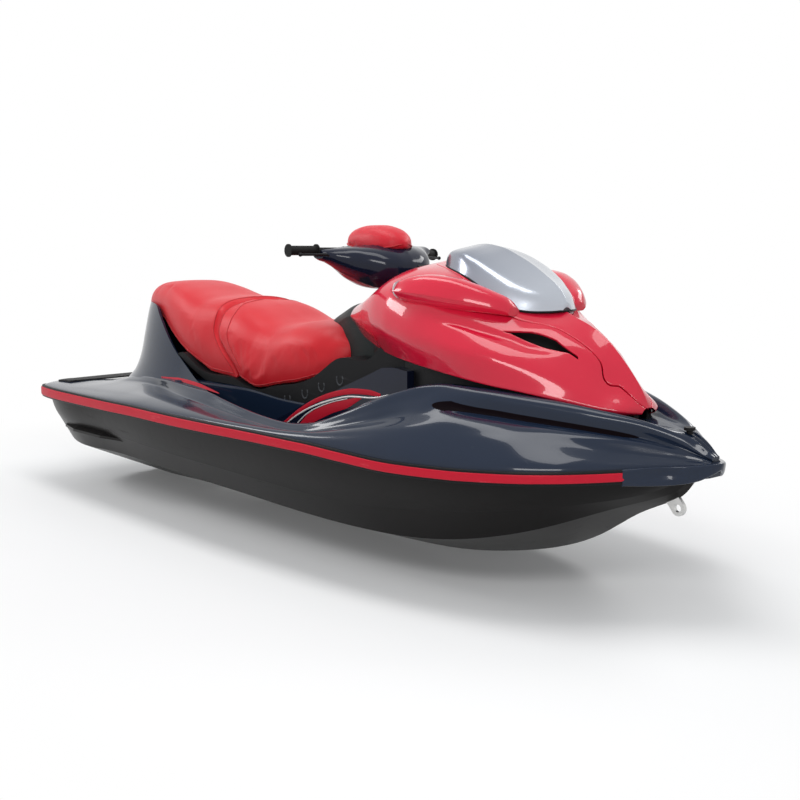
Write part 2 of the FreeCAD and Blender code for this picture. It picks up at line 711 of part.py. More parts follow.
def make_steering():
    foot, axis = column_line()
    middle = foot + axis * bar_height
    low_end = foot - axis * column_sunk
    column = rod(low_end, middle, column_diameter)
    column = column.fuse(rod(low_end, low_end + axis * tub_wall, column_collar))
    knees = {}
    ends = {}
    bar_parts = []
    for side in (-1, 1):
        knees[side] = middle + across * side * bar_half_span * bar_knee_share
        ends[side] = middle + Vector(-bar_sweep, side * (bar_half_span - flange_wide), -bar_drop)
        bar_parts.append(rod(middle, knees[side], bar_diameter))
        bar_parts.append(Part.makeSphere(bar_diameter / 2, knees[side]))
        bar_parts.append(rod(knees[side], ends[side], bar_diameter))
    bar = joined(bar_parts)
    column = column.cut(bar)
    cover = across_loft(cover_shares, middle)
    pad = biggest(across_loft(pad_shares, middle).cut(cover))
    cover = biggest(cover.cut(bar).cut(column))
    grips = []
    levers = []
    for side in (-1, 1):
        run = (ends[side] - knees[side]).normalize()
        tip = ends[side] + run * flange_wide
        root = ends[side] - run * grip_length
        grip = joined([rod(root, tip, grip_diameter), rod(ends[side], tip, grip_flange),
                       rod(root, root + run * flange_wide, grip_flange)])
        grips.append(biggest(grip.cut(bar)))
        clamp_end = root - run * flange_wide
        clamp_start = clamp_end - run * clamp_wide
        shoulder = (clamp_start + clamp_end) * 0.5 + Vector(grip_diameter / 2, 0, 0)
        elbow = shoulder + Vector(lever_reach * 0.8, 0, -lever_reach * 0.4)
        tip = elbow + run * lever_length
        lever = joined([rod(clamp_start, clamp_end, grip_diameter),
                        rod(shoulder, elbow, lever_thick * 1.6), Part.makeSphere(lever_thick * 0.8, elbow),
                        rod(elbow, tip, lever_thick), Part.makeSphere(lever_thick * 0.8, tip)])
        levers.append(biggest(lever.cut(bar).cut(cover)))
    write("steering_column", turned(biggest(column)))
    write("handlebar", turned(bar))
    write("bar_cover", turned(cover))
    write("bar_pad", turned(pad))
    write("grips", turned(Part.makeCompound(grips)))
    write("control_levers", turned(Part.makeCompound(levers)))


# The bore for the column, with its collar, through whatever holds it
def column_bore():
    foot, axis = column_line()
    low_end = foot - axis * column_sunk
    bore = rod(low_end, foot + axis * bar_height, column_diameter + column_clearance * 2)
    pocket = rod(low_end - axis * column_clearance, low_end + axis * (tub_wall + column_clearance),
                 column_collar + column_clearance * 2)
    return bore.fuse(pocket)


def lid_prism(grow, slip):
    side = [(at_x(place) + slip * part, at_y(wide) + grow) for place, wide, part in lid_outline_shares]
    side[0] = (side[0][0] - grow, side[0][1])
    side[-1] = (side[-1][0] + overrun, side[-1][1])
    outline = side + [(x, -y) for x, y in reversed(side)]
    return pillar(outline, 0.0, tall)


def bin_box(inset, low):
    middle = at_x(bin_middle_share)
    return box(Vector(middle - bin_length / 2 + inset, -bin_width / 2 + inset, low),
               Vector(middle + bin_length / 2 - inset, bin_width / 2 - inset, at_z(bin_top_share)))


def make_bin():
    floor = at_z(bin_floor_share)
    shell = bin_box(0.0, floor).cut(bin_box(bin_wall, floor + bin_wall))
    rim = bin_box(-bin_rim, at_z(bin_top_share) - bin_wall).cut(bin_box(bin_wall, floor))
    return shell.fuse(rim)


def pod_section(x, outer, inner, low, high):
    rise = high - low
    return loop([Vector(x, outer, low + rise * 0.45), Vector(x, outer * 0.93 + inner * 0.07, high - rise * 0.14),
                 Vector(x, (outer + inner) / 2, high), Vector(x, inner, high - rise * 0.15),
                 Vector(x, inner, low + rise * 0.2), Vector(x, (outer + inner) / 2, low)])


def make_pods(hood_loft, lid_room):
    pod = loft([pod_section(at_x(place), at_y(outer), at_y(inner), at_z(low), at_z(high))
                for place, outer, inner, low, high in pod_shares])
    back = at_x(pod_shares[1][0])
    glass_room = box(Vector(back, 0, 0), Vector(back + mirror_thick, half_beam * 2, tall))
    behind = box(Vector(0, 0, 0), Vector(back + mirror_thick, half_beam * 2, tall))
    glass = pod.common(glass_room).cut(hood_loft).cut(lid_room)
    body = pod.cut(behind).cut(hood_loft).cut(lid_room)
    return biggest(body), biggest(glass)


def make_gauge():
    middle = Vector(at_x(gauge_place_share), 0, at_z(gauge_height_share))
    size = Vector(gauge_deep / 2, gauge_width / 2, gauge_thick / 2)
    gauge = box(middle - size, middle + size)
    gauge.rotate(middle, across, -gauge_lean)
    return gauge


def make_vents():
    outline = [(at_x(x), at_z(z)) for x, z in vent_shares]
    inner = at_y(vent_inner_share)
    return slab(outline, inner, half_beam), slab(outline, inner, inner + vent_liner)


def make_hinge(deck):
    axis = Vector(at_x(hinge_share), 0, at_z(hinge_height_share))
    half = across * hinge_span / 2
    inner = across * (hinge_middle / 2 + hinge_gap)
    pin = rod(axis - half, axis + half, hinge_pin)
    lugs = []
    for side in (-1, 1):
        lug = rod(axis + inner * side, axis + half * side, hinge_barrel)
        foot = box(Vector(axis.x - hinge_barrel / 2, -hinge_span / 2, axis.z - hinge_barrel * 2),
                   Vector(axis.x + hinge_barrel / 2, hinge_span / 2, axis.z))
        room = box(Vector(axis.x - hinge_barrel, (axis + inner * side).y, 0),
                   Vector(axis.x + hinge_barrel, (axis + half * side).y, tall))
        lugs.append(lug.fuse(foot.common(room)))
    fixed = joined([pin] + lugs).cut(deck)
    knuckle = rod(axis - across * hinge_middle / 2, axis + across * hinge_middle / 2, hinge_barrel)
    arm = box(Vector(axis.x - hinge_barrel / 2, -hinge_middle / 2, axis.z),
              Vector(axis.x + hinge_barrel / 2, hinge_middle / 2, axis.z + hinge_arm))
    bore = rod(axis - half, axis + half, hinge_pin + pin_clearance * 2)
    arm_room = box(Vector(axis.x - hinge_barrel / 2, -hinge_middle / 2, 0),
                   Vector(axis.x + hinge_barrel / 2, hinge_middle / 2, tall))
    return biggest(fixed), knuckle.fuse(arm), arm_room, bore


def pump_point(setback):
    return Vector(at_x(pump_front_share) - setback, 0, pump_height)


def make_pump(hull_loft):
    front = pump_point(0.0)
    back = pump_point(pump_length)
    outer = pump_bore + pump_wall * 2
    flange = box(Vector(front.x - pump_flange, -tunnel_half_width, pump_height - outer / 2 - pump_flange),
                 Vector(front.x, tunnel_half_width, tunnel_roof))
    web = box(Vector(front.x - pump_web, -pump_wall, pump_height), Vector(front.x, pump_wall, tunnel_roof))
    housing = joined([rod(front, back, outer), flange.common(hull_loft), web])
    return housing.cut(rod(pump_point(-overrun), pump_point(pump_length + overrun), pump_bore))


def rotor_front():
    return pump_flange + impeller_clearance


def make_rotor():
    nose = pump_point(rotor_front())
    rear = pump_point(rotor_front() + impeller_length)
    tip = pump_bore / 2 - impeller_clearance
    shaft = rod(pump_point(-shaft_ahead), rear - along * journal_length, shaft_diameter)
    rotor = rod(nose, rear, impeller_hub).fuse(shaft)
    limit = rod(nose, rear, tip * 2)
    centre = (nose + rear) * 0.5
    for i in range(blade_count):
        blade = box(centre + Vector(-impeller_length, -blade_thick / 2, impeller_hub / 4),
                    centre + Vector(impeller_length, blade_thick / 2, tip + blade_thick))
        blade.rotate(centre, upright, blade_pitch)
        blade.rotate(centre, along, 360.0 * i / blade_count)
        rotor = rotor.fuse(blade.common(limit))
    return rotor


# Fixed vanes carry the hub that holds the shaft, and the outlet narrows behind them
def make_outlet():
    start = rotor_front() + impeller_length + impeller_clearance
    front = pump_point(start)
    back = pump_point(pump_length)
    parts = [cone(front, back, impeller_hub, impeller_hub / 3)]
    for i in range(vane_count):
        vane = box(Vector(front.x - impeller_length, -blade_thick / 2, pump_height),
                   Vector(front.x - blade_thick, blade_thick / 2, pump_height + pump_bore / 2))
        vane.rotate(front, along, 360.0 * i / vane_count)
        parts.append(vane.common(rod(front, back, pump_bore)))
    socket = rod(pump_point(0.0), pump_point(rotor_front() + impeller_length + journal_length + shaft_clearance),
                 shaft_diameter + shaft_clearance * 2)
    stator = joined(parts).cut(socket)
    taper = pump_point(pump_length + outlet_taper)
    end = pump_point(pump_length + outlet_taper + outlet_straight)
    thick = nozzle_wall * 2
    outlet = cone(back, taper, pump_bore + pump_wall * 2, nozzle_diameter + thick)
    outlet = outlet.fuse(rod(taper, end, nozzle_diameter + thick))
    inside = cone(back, taper, pump_bore, nozzle_diameter).fuse(rod(taper, end, nozzle_diameter))
    pivot = end + along * pivot_setback
    pins = []
    for side in (-1, 1):
        pins.append(rod(pivot + upright * side * (nozzle_diameter / 2 + nozzle_wall / 2),
                        pivot + upright * side * (nozzle_mouth / 2 + nozzle_wall + pivot_head), pivot_diameter))
        hinge = pump_point(pump_length + bucket_pivot_setback)
        pins.append(rod(hinge + across * side * (nozzle_diameter / 2 + nozzle_wall),
                        hinge + across * side * (bucket_half_width + nozzle_wall), pivot_diameter))
    return stator, joined([outlet] + pins).cut(inside)


def nozzle_pivot():
    return pump_point(pump_length + outlet_taper + outlet_straight - pivot_setback)


def make_nozzle():
    pivot = nozzle_pivot()
    front = pivot + along * nozzle_cover
    rear = pivot - along * nozzle_length
    thick = nozzle_wall * 2
    shell = cone(front, rear, nozzle_mouth + thick, nozzle_diameter + thick)
    shell = shell.cut(cone(front, rear, nozzle_mouth, nozzle_diameter))
    bore = rod(pivot - upright * nozzle_mouth, pivot + upright * nozzle_mouth, pivot_diameter + pin_clearance * 2)
    nozzle = biggest(shell.cut(bore))
    nozzle.rotate(pivot, upright, -steer_at_rest * nozzle_ratio)
    return nozzle


def make_bucket():
    pivot = pump_point(pump_length + bucket_pivot_setback)
    half = across * bucket_half_width
    reach = bucket_radius * 2
    low = math.radians(bucket_low_angle)
    high = math.radians(bucket_high_angle)
    wedge_points = [(pivot.x, pivot.z), (pivot.x - reach * math.cos(low), pivot.z + reach * math.sin(low)),
                    (pivot.x - reach * math.cos(high), pivot.z + reach * math.sin(high))]
    wedge = slab(wedge_points, -bucket_half_width, bucket_half_width)
    drum = rod(pivot - half, pivot + half, bucket_radius * 2)
    hollow = rod(pivot - half, pivot + half, (bucket_radius - bucket_wall) * 2)
    shell = drum.cut(hollow).common(wedge)
    parts = [shell]
    for side in (-1, 1):
        outer = pivot + half * side
        inner = outer - across * side * bucket_arm
        room = box(Vector(pivot.x - reach, inner.y, 0), Vector(pivot.x + reach, outer.y, tall))
        parts.append(wedge.common(drum).common(room))
        parts.append(rod(inner, outer, bucket_boss))
    bore = rod(pivot - half * 2, pivot + half * 2, pivot_diameter + pin_clearance * 2)
    return joined(parts).cut(bore)


def intake_solid():
    front = at_x(pump_front_share)
    half = pump_bore / 2
    outline = [(front, pump_height + pump_bore / 2), (front + intake_length * 0.45, pump_height),
               (front + intake_length, -overrun), (front + intake_length * 0.22, -overrun),
               (front, pump_height - pump_bore / 2)]
    return slab(outline, -half, half)


# Bars along the intake with a frame round them, cut to the shape of the hull's bottom
def make_grate(hull_loft):
    front = at_x(pump_front_share)
    half = pump_bore / 2
    layer = hull_loft.cut(hull_loft.translated(upright * grate_frame))
    low = Vector(front + intake_length * 0.24, -half, -overrun)
    high = Vector(front + intake_length * 0.90, half, pump_height)
    frame = box(low, high)
    inner = Vector(grate_frame, grate_frame, 0)
    frame = frame.cut(box(low + inner - upright * overrun, high - inner + upright * overrun))
    parts = [frame]
    step = (pump_bore - grate_frame * 2) / (grate_count + 1)
    for i in range(grate_count):
        y = -half + grate_frame + step * (i + 1) - grate_bar / 2
        parts.append(box(Vector(low.x, y, low.z), Vector(high.x, y + grate_bar, high.z)))
    return biggest(joined(parts).common(layer).common(intake_solid()))


def sponson():
    wires = []
    for place, share in sponson_shares:
        x = at_x(place)
        outer = at_y(sponson_width_share) + sponson_wide * share
        inner = at_y(sponson_width_share) - sponson_wide
        low = at_z(sponson_height_share)
        high = low + sponson_tall * (0.5 + share / 2)
        wires.append(ring([Vector(x, inner, low), Vector(x, outer, low + sponson_tall * 0.2),
                           Vector(x, outer, low + sponson_tall * 0.4), Vector(x, inner, high)]))
    return loft(wires, True)


# A lifting eye: a bored cheek on a neck that ends in the moulding it is bolted to
def eye_at(point, inward):
    half = across * eye_thick / 2
    cheek = rod(point - half, point + half, eye_diameter)
    neck = box(point - half - upright * eye_diameter / 2, point + half + upright * eye_diameter / 2
               + along * eye_diameter)
    neck.rotate(point, across, inward)
    return cheek.fuse(neck).cut(rod(point - half * 2, point + half * 2, eye_bore))


def main():
    hull_loft = loft([hull_section(row) for row in hull_shares])
    deck_loft = loft([deck_section(row) for row in deck_shares])
    hood_loft = loft([hood_section(row) for row in hood_shares])
    plinth_loft = loft([plinth_section(row) for row in hood_shares[:-2]])
    shield_loft = loft([shield_section(row) for row in shield_shares])

    # Hull with its engine bay, pump tunnel, intake, shaft bore and room for the footwell tubs
    engine_low = Vector(at_x(engine_middle_share) - engine_length / 2, -engine_width / 2, at_z(engine_floor_share))
    engine_high = engine_low + Vector(engine_length, engine_width, engine_tall)
    margin = Vector(bay_margin, bay_margin, 0)
    bay = box(engine_low - margin, engine_high + margin + upright * bay_margin)
    engine = box(engine_low, engine_high)
    tunnel = box(Vector(-half_length, -tunnel_half_width, -overrun),
                 Vector(at_x(pump_front_share), tunnel_half_width, tunnel_roof))
    shaft_room = rod(pump_point(0.0), pump_point(-shaft_ahead - shaft_clearance), shaft_diameter + shaft_clearance * 2)
    tub = well_solid(tub_wall)
    tubs = tub.fuse(mirrored(tub))
    well = well_solid(0.0)
    wells = well.fuse(mirrored(well))
    hull = hull_loft.cut([bay, tunnel, intake_solid(), shaft_room, tubs])
    hull = biggest(hull)
    write("engine_block", engine)
    write("intake_grate", make_grate(hull_loft))
    plate_room = box(Vector(at_x(plate_end_share), -tunnel_half_width, -overrun),
                     Vector(at_x(pump_front_share) - pump_flange, tunnel_half_width, tunnel_roof))
    write("ride_plate", hull_loft.common(plate_room).cut(hull_loft.translated(upright * plate_thick)))

    # Deck moulding, seated on the hull, with the footwells and room for the storage bin
    deck_shell = deck_loft.cut(hull_loft).fuse(tubs.common(deck_loft.fuse(hull_loft)))
    bin_room = bin_box(0.0, at_z(bin_floor_share))
    deck = biggest(deck_shell.cut([wells, bin_room]))
    write("hull", hull)
    write("deck", lengths(deck, deck_joint_shares))
    write("rear_mat", rear_mat(deck_loft))

    # Rails and the bow
    carrier = biggest(rail_strip(-rail_depth, rail_depth, rail_tall).cut(deck_loft).cut(hull_loft))
    insert = biggest(rail_strip(rail_depth, rail_depth + insert_depth, insert_tall).cut(carrier))
    write("rub_rails", pair(carrier))
    write("rail_inserts", pair(insert))
    bumper = make_bumper(deck_loft, hull_loft, carrier.fuse(insert))
    write("bow_bumper", bumper)

    # Trim under the seats, the tail, the console and the knee panels
    tail = biggest(make_tail(deck_loft))
    base = make_base(deck_loft).cut([tail, hood_loft])
    console = make_console(base).cut(hood_loft)
    knees_outline = [(at_x(x), at_z(z)) for x, z in knee_outline_shares]
    knee_high = at_y(knee_width_share)
    plinth = biggest(plinth_loft.cut([deck_loft, base, console, bin_room]))
    knee = slab(knees_outline, knee_high - knee_thick, knee_high).cut([deck_shell.cut(wells), base, plinth_loft])
    knee = biggest(knee.cut(hood_loft))
    front_seat, rear_seat = make_seats([console, base, tail])
    console = biggest(console.cut(column_bore()))
    base = biggest(base.cut(column_bore()))
    write("tail_surround", tail)
    write("seat_base", base)
    write("console", console)
    write("knee_panels", pair(knee))
    write("footwell_mats", pair(biggest(well_mat().cut(knee))))
    write("seat_front", front_seat)
    write("seat_rear", rear_seat)

    # Hood, its lid with the windshield, the bin below and the mirrors at its sides
    gauge = make_gauge()
    vent_room, vent_liner_solid = make_vents()
    lid_room = lid_prism(lid_gap, lid_slip)
    hood = hood_loft.cut([lid_room, plinth, gauge, vent_room, mirrored(vent_room), column_bore()])
    hood = biggest(hood)
    hinge, knuckle, arm_room, hinge_bore = make_hinge(deck_loft)
    lid_inside = hood_loft.translated(upright * -lid_wall).cut(arm_room)
    lid = hood_loft.common(lid_prism(0.0, 0.0)).cut(lid_inside)
    lid = biggest(lid.fuse(knuckle).cut(hinge_bore))
    shield = biggest(shield_loft.cut(hood_loft))
    pod, glass = make_pods(hood_loft, lid_room)
    write("hood_plinth", plinth.cut(column_bore()))
    write("hood_fairing", hood)
    write("front_lid", lid)
    write("lid_hinge", hinge)
    write("windshield", shield)
    write("mirror_pods", pair(pod))
    write("mirror_glasses", pair(glass))
    write("air_vents", pair(vent_liner_solid.common(hood_loft)))
    write("gauge_panel", gauge)
    write("storage_bin", make_bin())

    make_steering()

    # Jet drive
    stator, outlet = make_outlet()
    write("pump_housing", make_pump(hull_loft))
    write("pump_stator", stator)
    write("pump_outlet", outlet)
    write("impeller", make_rotor())
    write("steering_nozzle", make_nozzle())
    write("reverse_bucket", make_bucket())

    # Small fittings
    stern = at_x(hull_shares[0][0])
    bow_eye = eye_at(Vector(at_x(bow_eye_share), 0, at_z(bow_eye_height_share)), bow_eye_turn)
    write("bow_eye", biggest(bow_eye.cut(hull_loft)))
    stern_eye = eye_at(Vector(stern - eye_setback, at_y(stern_eye_share), at_z(stern_eye_height_share)), 0.0)
    write("stern_eyes", pair(biggest(stern_eye.cut([hull_loft, deck_loft]))))
    plug_foot = Vector(stern, at_y(plug_share), at_z(plug_height_share))
    write("drain_plugs", pair(rod(plug_foot, plug_foot - along * plug_tall, plug_diameter)))
    write("sponsons", pair(biggest(sponson().cut(hull_loft))))
    knob_foot = Vector(at_x(knob_share), 0, at_z(flow(deck_shares, knob_share, 9)))
    knob = rod(knob_foot - upright * knob_tall, knob_foot + upright * knob_tall, knob_neck)
    knob = knob.fuse(rod(knob_foot + upright * knob_tall / 2, knob_foot + upright * knob_tall, knob_diameter))
    write("bow_cleat", biggest(knob.cut(deck_loft).cut(bumper)))


main()
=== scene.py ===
import bpy
import bmesh
import math
import numpy as np
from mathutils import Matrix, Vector
from mathutils.bvhtree import BVHTree


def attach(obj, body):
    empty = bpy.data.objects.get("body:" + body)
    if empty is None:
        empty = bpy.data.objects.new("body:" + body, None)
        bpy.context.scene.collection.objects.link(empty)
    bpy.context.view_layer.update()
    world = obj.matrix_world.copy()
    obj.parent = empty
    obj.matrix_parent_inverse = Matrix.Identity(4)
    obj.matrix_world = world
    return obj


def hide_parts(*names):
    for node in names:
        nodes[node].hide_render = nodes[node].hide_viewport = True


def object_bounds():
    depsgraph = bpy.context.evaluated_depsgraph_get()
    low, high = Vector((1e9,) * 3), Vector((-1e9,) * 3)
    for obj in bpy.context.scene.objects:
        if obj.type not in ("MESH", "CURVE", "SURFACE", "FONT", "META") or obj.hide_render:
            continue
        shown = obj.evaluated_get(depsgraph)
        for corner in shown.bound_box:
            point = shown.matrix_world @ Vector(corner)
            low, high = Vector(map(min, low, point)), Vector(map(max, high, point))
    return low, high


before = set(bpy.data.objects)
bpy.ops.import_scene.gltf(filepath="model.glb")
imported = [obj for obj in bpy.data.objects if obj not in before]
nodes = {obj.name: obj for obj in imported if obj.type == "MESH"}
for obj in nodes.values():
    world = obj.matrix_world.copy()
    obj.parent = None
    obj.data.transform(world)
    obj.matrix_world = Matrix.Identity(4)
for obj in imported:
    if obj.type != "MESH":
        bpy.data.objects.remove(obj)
cadLow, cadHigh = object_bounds()

# Sizes that everything follows, read from the frame. Tables give places as shares of the half length,
# half widths as shares of the half beam, and heights above the keel as shares of the whole height.
halfLength = cadHigh.x
halfBeam = cadHigh.y
wholeHeight = halfLength * 0.701212
keelZ = -halfLength * 0.148485
mm = halfLength / 1650
print("frame loaded:", len(nodes), "nodes")


# Shape helpers

def flow(places, values, at):
    # A cubic through the rows. Its slopes are harmonic means of the steps beside them, so it never overshoots
    places, values, at = np.asarray(places, float), np.asarray(values, float), np.asarray(at, float)
    flat = values.reshape(len(places), -1)
    gaps = np.diff(places)
    steps = np.diff(flat, axis=0) / gaps[:, None]
    both = steps[:-1] * steps[1:]
    total = steps[:-1] + steps[1:]
    inner = np.where(both > 0, 2 * both / np.where(total == 0, 1, total), 0)
    slopes = np.vstack([steps[:1], inner, steps[-1:]])
    asked = at.ravel()
    spot = np.clip(np.searchsorted(places, asked, side="right") - 1, 0, len(gaps) - 1)
    rise = gaps[spot][:, None]
    t = np.clip((asked - places[spot])[:, None] / rise, 0, 1)
    result = (flat[spot] * (2 * t**3 - 3 * t**2 + 1) + slopes[spot] * rise * (t**3 - 2 * t**2 + t)
              + flat[spot + 1] * (3 * t**2 - 2 * t**3) + slopes[spot + 1] * rise * (t**3 - t**2))
    return result.reshape(at.shape + values.shape[1:])


def readTable(rows, at):
    # The columns after the first, read at places in the first. A single column comes back without its axis
    table = np.array(rows, float)
    values = flow(table[:, 0], table[:, 1:], at)
    return values[..., 0] if table.shape[1] == 2 else values


def softened(values, reach, axis=0):
    # Gaussian average of neighbouring rows. The array is carried on past its ends, so they stay in place
    if reach <= 0:
        return values
    steps = min(int(math.ceil(3 * reach)), values.shape[axis] - 1)
    weights = np.exp(-0.5 * (np.arange(-steps, steps + 1) / reach) ** 2)
    weights /= weights.sum()
    padding = [(0, 0)] * values.ndim
    padding[axis] = (steps, steps)
    wide = np.pad(values, padding, mode="reflect", reflect_type="odd")
    size = values.shape[axis]
    return sum(w * np.take(wide, np.arange(i, i + size), axis=axis) for i, w in enumerate(weights))


def softLine(rows, stations, reach=0.0):
    # A table of shares read at the given stations, in metres. The table is read on a fine even ruler,
    # averaged there over the reach, and then read off at the stations
    table = np.array(rows, float)
    ruler = np.linspace(table[0, 0], table[-1, 0], 900)
    values = softened(flow(table[:, 0], table[:, 1:], ruler), reach / (ruler[1] - ruler[0]))
    spots = np.clip(np.asarray(stations) / halfLength, ruler[0], ruler[-1])
    return np.stack([np.interp(spots, ruler, column) for column in values.T], axis=-1)


def placed(place, wide, height):  # points from shares of the half length, half beam and whole height
    place, wide, height = np.broadcast_arrays(place, wide, height)
    return np.stack([place * halfLength, wide * halfBeam, keelZ + height * wholeHeight], -1)


def namedLines(rows, stations, reach=0.0):
    # The columns of a table as lines along the craft: pairs of half width and height, then the crown's height
    values = softLine(rows, stations, reach)
    place = stations / halfLength
    pairs = range(0, values.shape[-1] - 1, 2)
    lines = [placed(place, values[..., i], values[..., i + 1]) for i in pairs]
    return lines + [placed(place, 0, values[..., -1])] if values.shape[-1] % 2 else lines


def across(lines, count, reach=0.0):
    # Sections through the lines: each section is a smooth curve through one point of every line,
    # with a parameter shared by all the sections that grows with the mean distance between the lines
    stack = np.stack(lines)
    hops = np.linalg.norm(np.diff(stack, axis=0), axis=2).mean(axis=1)
    spots = np.concatenate([[0], np.cumsum(np.maximum(hops, 1e-5))])
    return softened(flow(spots, stack, np.linspace(0, spots[-1], count)), reach)


def bothSides(grid):  # a grid from the outer edge to the centre line, carried on to the other side
    return np.concatenate([grid, (grid[:-1] * [1, -1, 1])[::-1]])


def unit(vectors):
    return vectors / np.maximum(np.linalg.norm(vectors, axis=-1, keepdims=True), 1e-12)


def gridNormals(grid):
    return unit(np.cross(np.gradient(grid, axis=0), np.gradient(grid, axis=1)))


def levelOut(path):  # level vectors at right angles to a path, to its right
    ahead = np.gradient(path, axis=0)
    return unit(np.stack([ahead[:, 1], -ahead[:, 0], 0 * ahead[:, 0]], -1))


def inwardFrom(span):  # vectors at right angles to the span between two lines, towards the inside
    return unit(np.stack([0 * span[:, 0], -span[:, 2], span[:, 1]], -1))


def bump(distance, reach):  # a bell that is 1 at no distance and fades over the reach
    return np.exp(-0.5 * (distance / reach) ** 2)


def ramp(values, low, high):  # an S curve from 0 at low to 1 at high
    t = np.clip((values - low) / (high - low), 0, 1)
    return t * t * (3 - 2 * t)


def spaced(low, high, count, ends=1.0):  # places between two ends, drawn towards both by the ends' power
    t = np.linspace(0, 1, count)
    eased = 0.5 - 0.5 * np.cos(math.pi * t)
    return low + (high - low) * (t * (1 - ends) + eased * ends)


def spacedOver(rows, count, ends):  # such places from the first row of a table to its last
    return spaced(rows[0][0], rows[-1][0], count, ends)


def circle(sides):  # cosines and sines of even steps round a circle
    turn = np.linspace(0, 2 * math.pi, sides + 1)[:-1]
    return np.cos(turn), np.sin(turn)


def bent(values, power):  # values raised to a power, with their signs kept
    return np.sign(values) * np.abs(values) ** power


# Shapes are points, four sided faces and three sided faces

def gridFaces(rows, columns, wrap=False):
    r = np.arange(rows - 1)[:, None]
    c = np.arange(columns if wrap else columns - 1)[None]
    after = (c + 1) % columns
    low, high = r * columns, (r + 1) * columns
    return np.stack(np.broadcast_arrays(low + c, high + c, high + after, low + after), axis=-1).reshape(-1, 4)


def sheet(grid):  # an open grid
    return grid.reshape(-1, 3), gridFaces(*grid.shape[:2]), np.zeros((0, 3), int)


def tube(rings):  # rings of points, each closed on itself and joined to the next, with a fan over each end
    count, size = rings.shape[:2]
    step = np.arange(size)
    after, end = (step + 1) % size, (count - 1) * size
    first = np.column_stack([np.full(size, count * size), step, after])
    last = np.column_stack([np.full(size, count * size + 1), after + end, step + end])
    points = np.vstack([rings.reshape(-1, 3), rings[0].mean(axis=0), rings[-1].mean(axis=0)])
    return points, gridFaces(count, size, wrap=True), np.vstack([first, last])


def mirrored(shape):  # a shape on the other side, with its faces still outwards
    points, faces, fans = shape
    return points * [1, -1, 1], faces[:, ::-1], fans


def pair(rings):  # a tube on one side and its image on the other
    return [tube(rings), tube(rings * [1, -1, 1])]


looks = {}


def addPiece(name, shapes, body, look, sharp=36.0, closed=False, replaces=()):
    # One mesh from several shapes. Points that meet are merged, so the shading runs on over their seams
    starts = np.cumsum([0] + [len(shape[0]) for shape in shapes])
    faces = []
    for start, shape in zip(starts, shapes):
        faces += (shape[1] + start).tolist() + (shape[2] + start).tolist()
    mesh = bpy.data.meshes.new(name)
    mesh.from_pydata(np.vstack([shape[0] for shape in shapes]).tolist(), [], faces)
    bm = bmesh.new()
    bm.from_mesh(mesh)
    bmesh.ops.remove_doubles(bm, verts=bm.verts, dist=0.02 * mm)
    bmesh.ops.dissolve_degenerate(bm, edges=bm.edges, dist=0.01 * mm)
    if closed:
        bmesh.ops.recalc_face_normals(bm, faces=bm.faces)
    bm.to_mesh(mesh)
    bm.free()
    piece = bpy.data.objects.new(name, mesh)
    bpy.context.scene.collection.objects.link(piece)
    mesh.materials.append(looks[look])
    mesh.polygons.foreach_set("use_smooth", np.ones(len(mesh.polygons), bool))
    mesh.set_sharp_from_angle(angle=math.radians(sharp))
    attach(piece, body)
    if replaces:
        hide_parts(*replaces)
    return piece


print("helpers ready")


# Materials: the node groups that several of them use

def addNode(tree, kind, settings=None, **values):
    node = tree.nodes.new(kind)
    for key, value in (settings or {}).items():
        setattr(node, key, value)
    for key, value in values.items():
        node.inputs[key.replace("_", " ")].default_value = value
    return node


def wire(tree, *links):  # joins each output to its input
    for output, goal in links:
        tree.links.new(output, goal)


def newGroup(name, inputs, outputs):  # a group that takes coordinates and numbers and gives numbers
    tree = bpy.data.node_groups.new(name, "ShaderNodeTree")
    tree.interface.new_socket(name="Coordinates", in_out="INPUT", socket_type="NodeSocketVector")
    for key, value in inputs.items():
        socket = tree.interface.new_socket(name=key, in_out="INPUT", socket_type="NodeSocketFloat")
        socket.default_value = value
    for key in outputs:
        tree.interface.new_socket(name=key, in_out="OUTPUT", socket_type="NodeSocketFloat")
    return tree, tree.nodes.new("NodeGroupInput").outputs, tree.nodes.new("NodeGroupOutput").inputs


def makeGrainGroup():
    # Pebbled grain for vinyl and moulded plastic: cells with broad waves below them, as a height
    tree, given, made = newGroup("pebbleGrain", {"Cells": 700.0, "Waves": 0.25}, ("Height", "Variation"))
    cells = addNode(tree, "ShaderNodeTexVoronoi", {"feature": "SMOOTH_F1"}, Smoothness=0.6)
    waves = addNode(tree, "ShaderNodeTexNoise", Scale=28.0, Detail=3.0)
    patches = addNode(tree, "ShaderNodeTexNoise", Scale=7.0, Detail=4.0, Roughness=0.6)
    scaled = addNode(tree, "ShaderNodeMath", {"operation": "MULTIPLY"})
    summed = addNode(tree, "ShaderNodeMath", {"operation": "ADD"})
    wire(tree, *[(given["Coordinates"], node.inputs["Vector"]) for node in (cells, waves, patches)])
    wire(tree, (given["Cells"], cells.inputs["Scale"]), (waves.outputs["Fac"], scaled.inputs[0]),
         (given["Waves"], scaled.inputs[1]), (cells.outputs["Distance"], summed.inputs[0]),
         (scaled.outputs[0], summed.inputs[1]), (summed.outputs[0], made["Height"]),
         (patches.outputs["Fac"], made["Variation"]))
    return tree


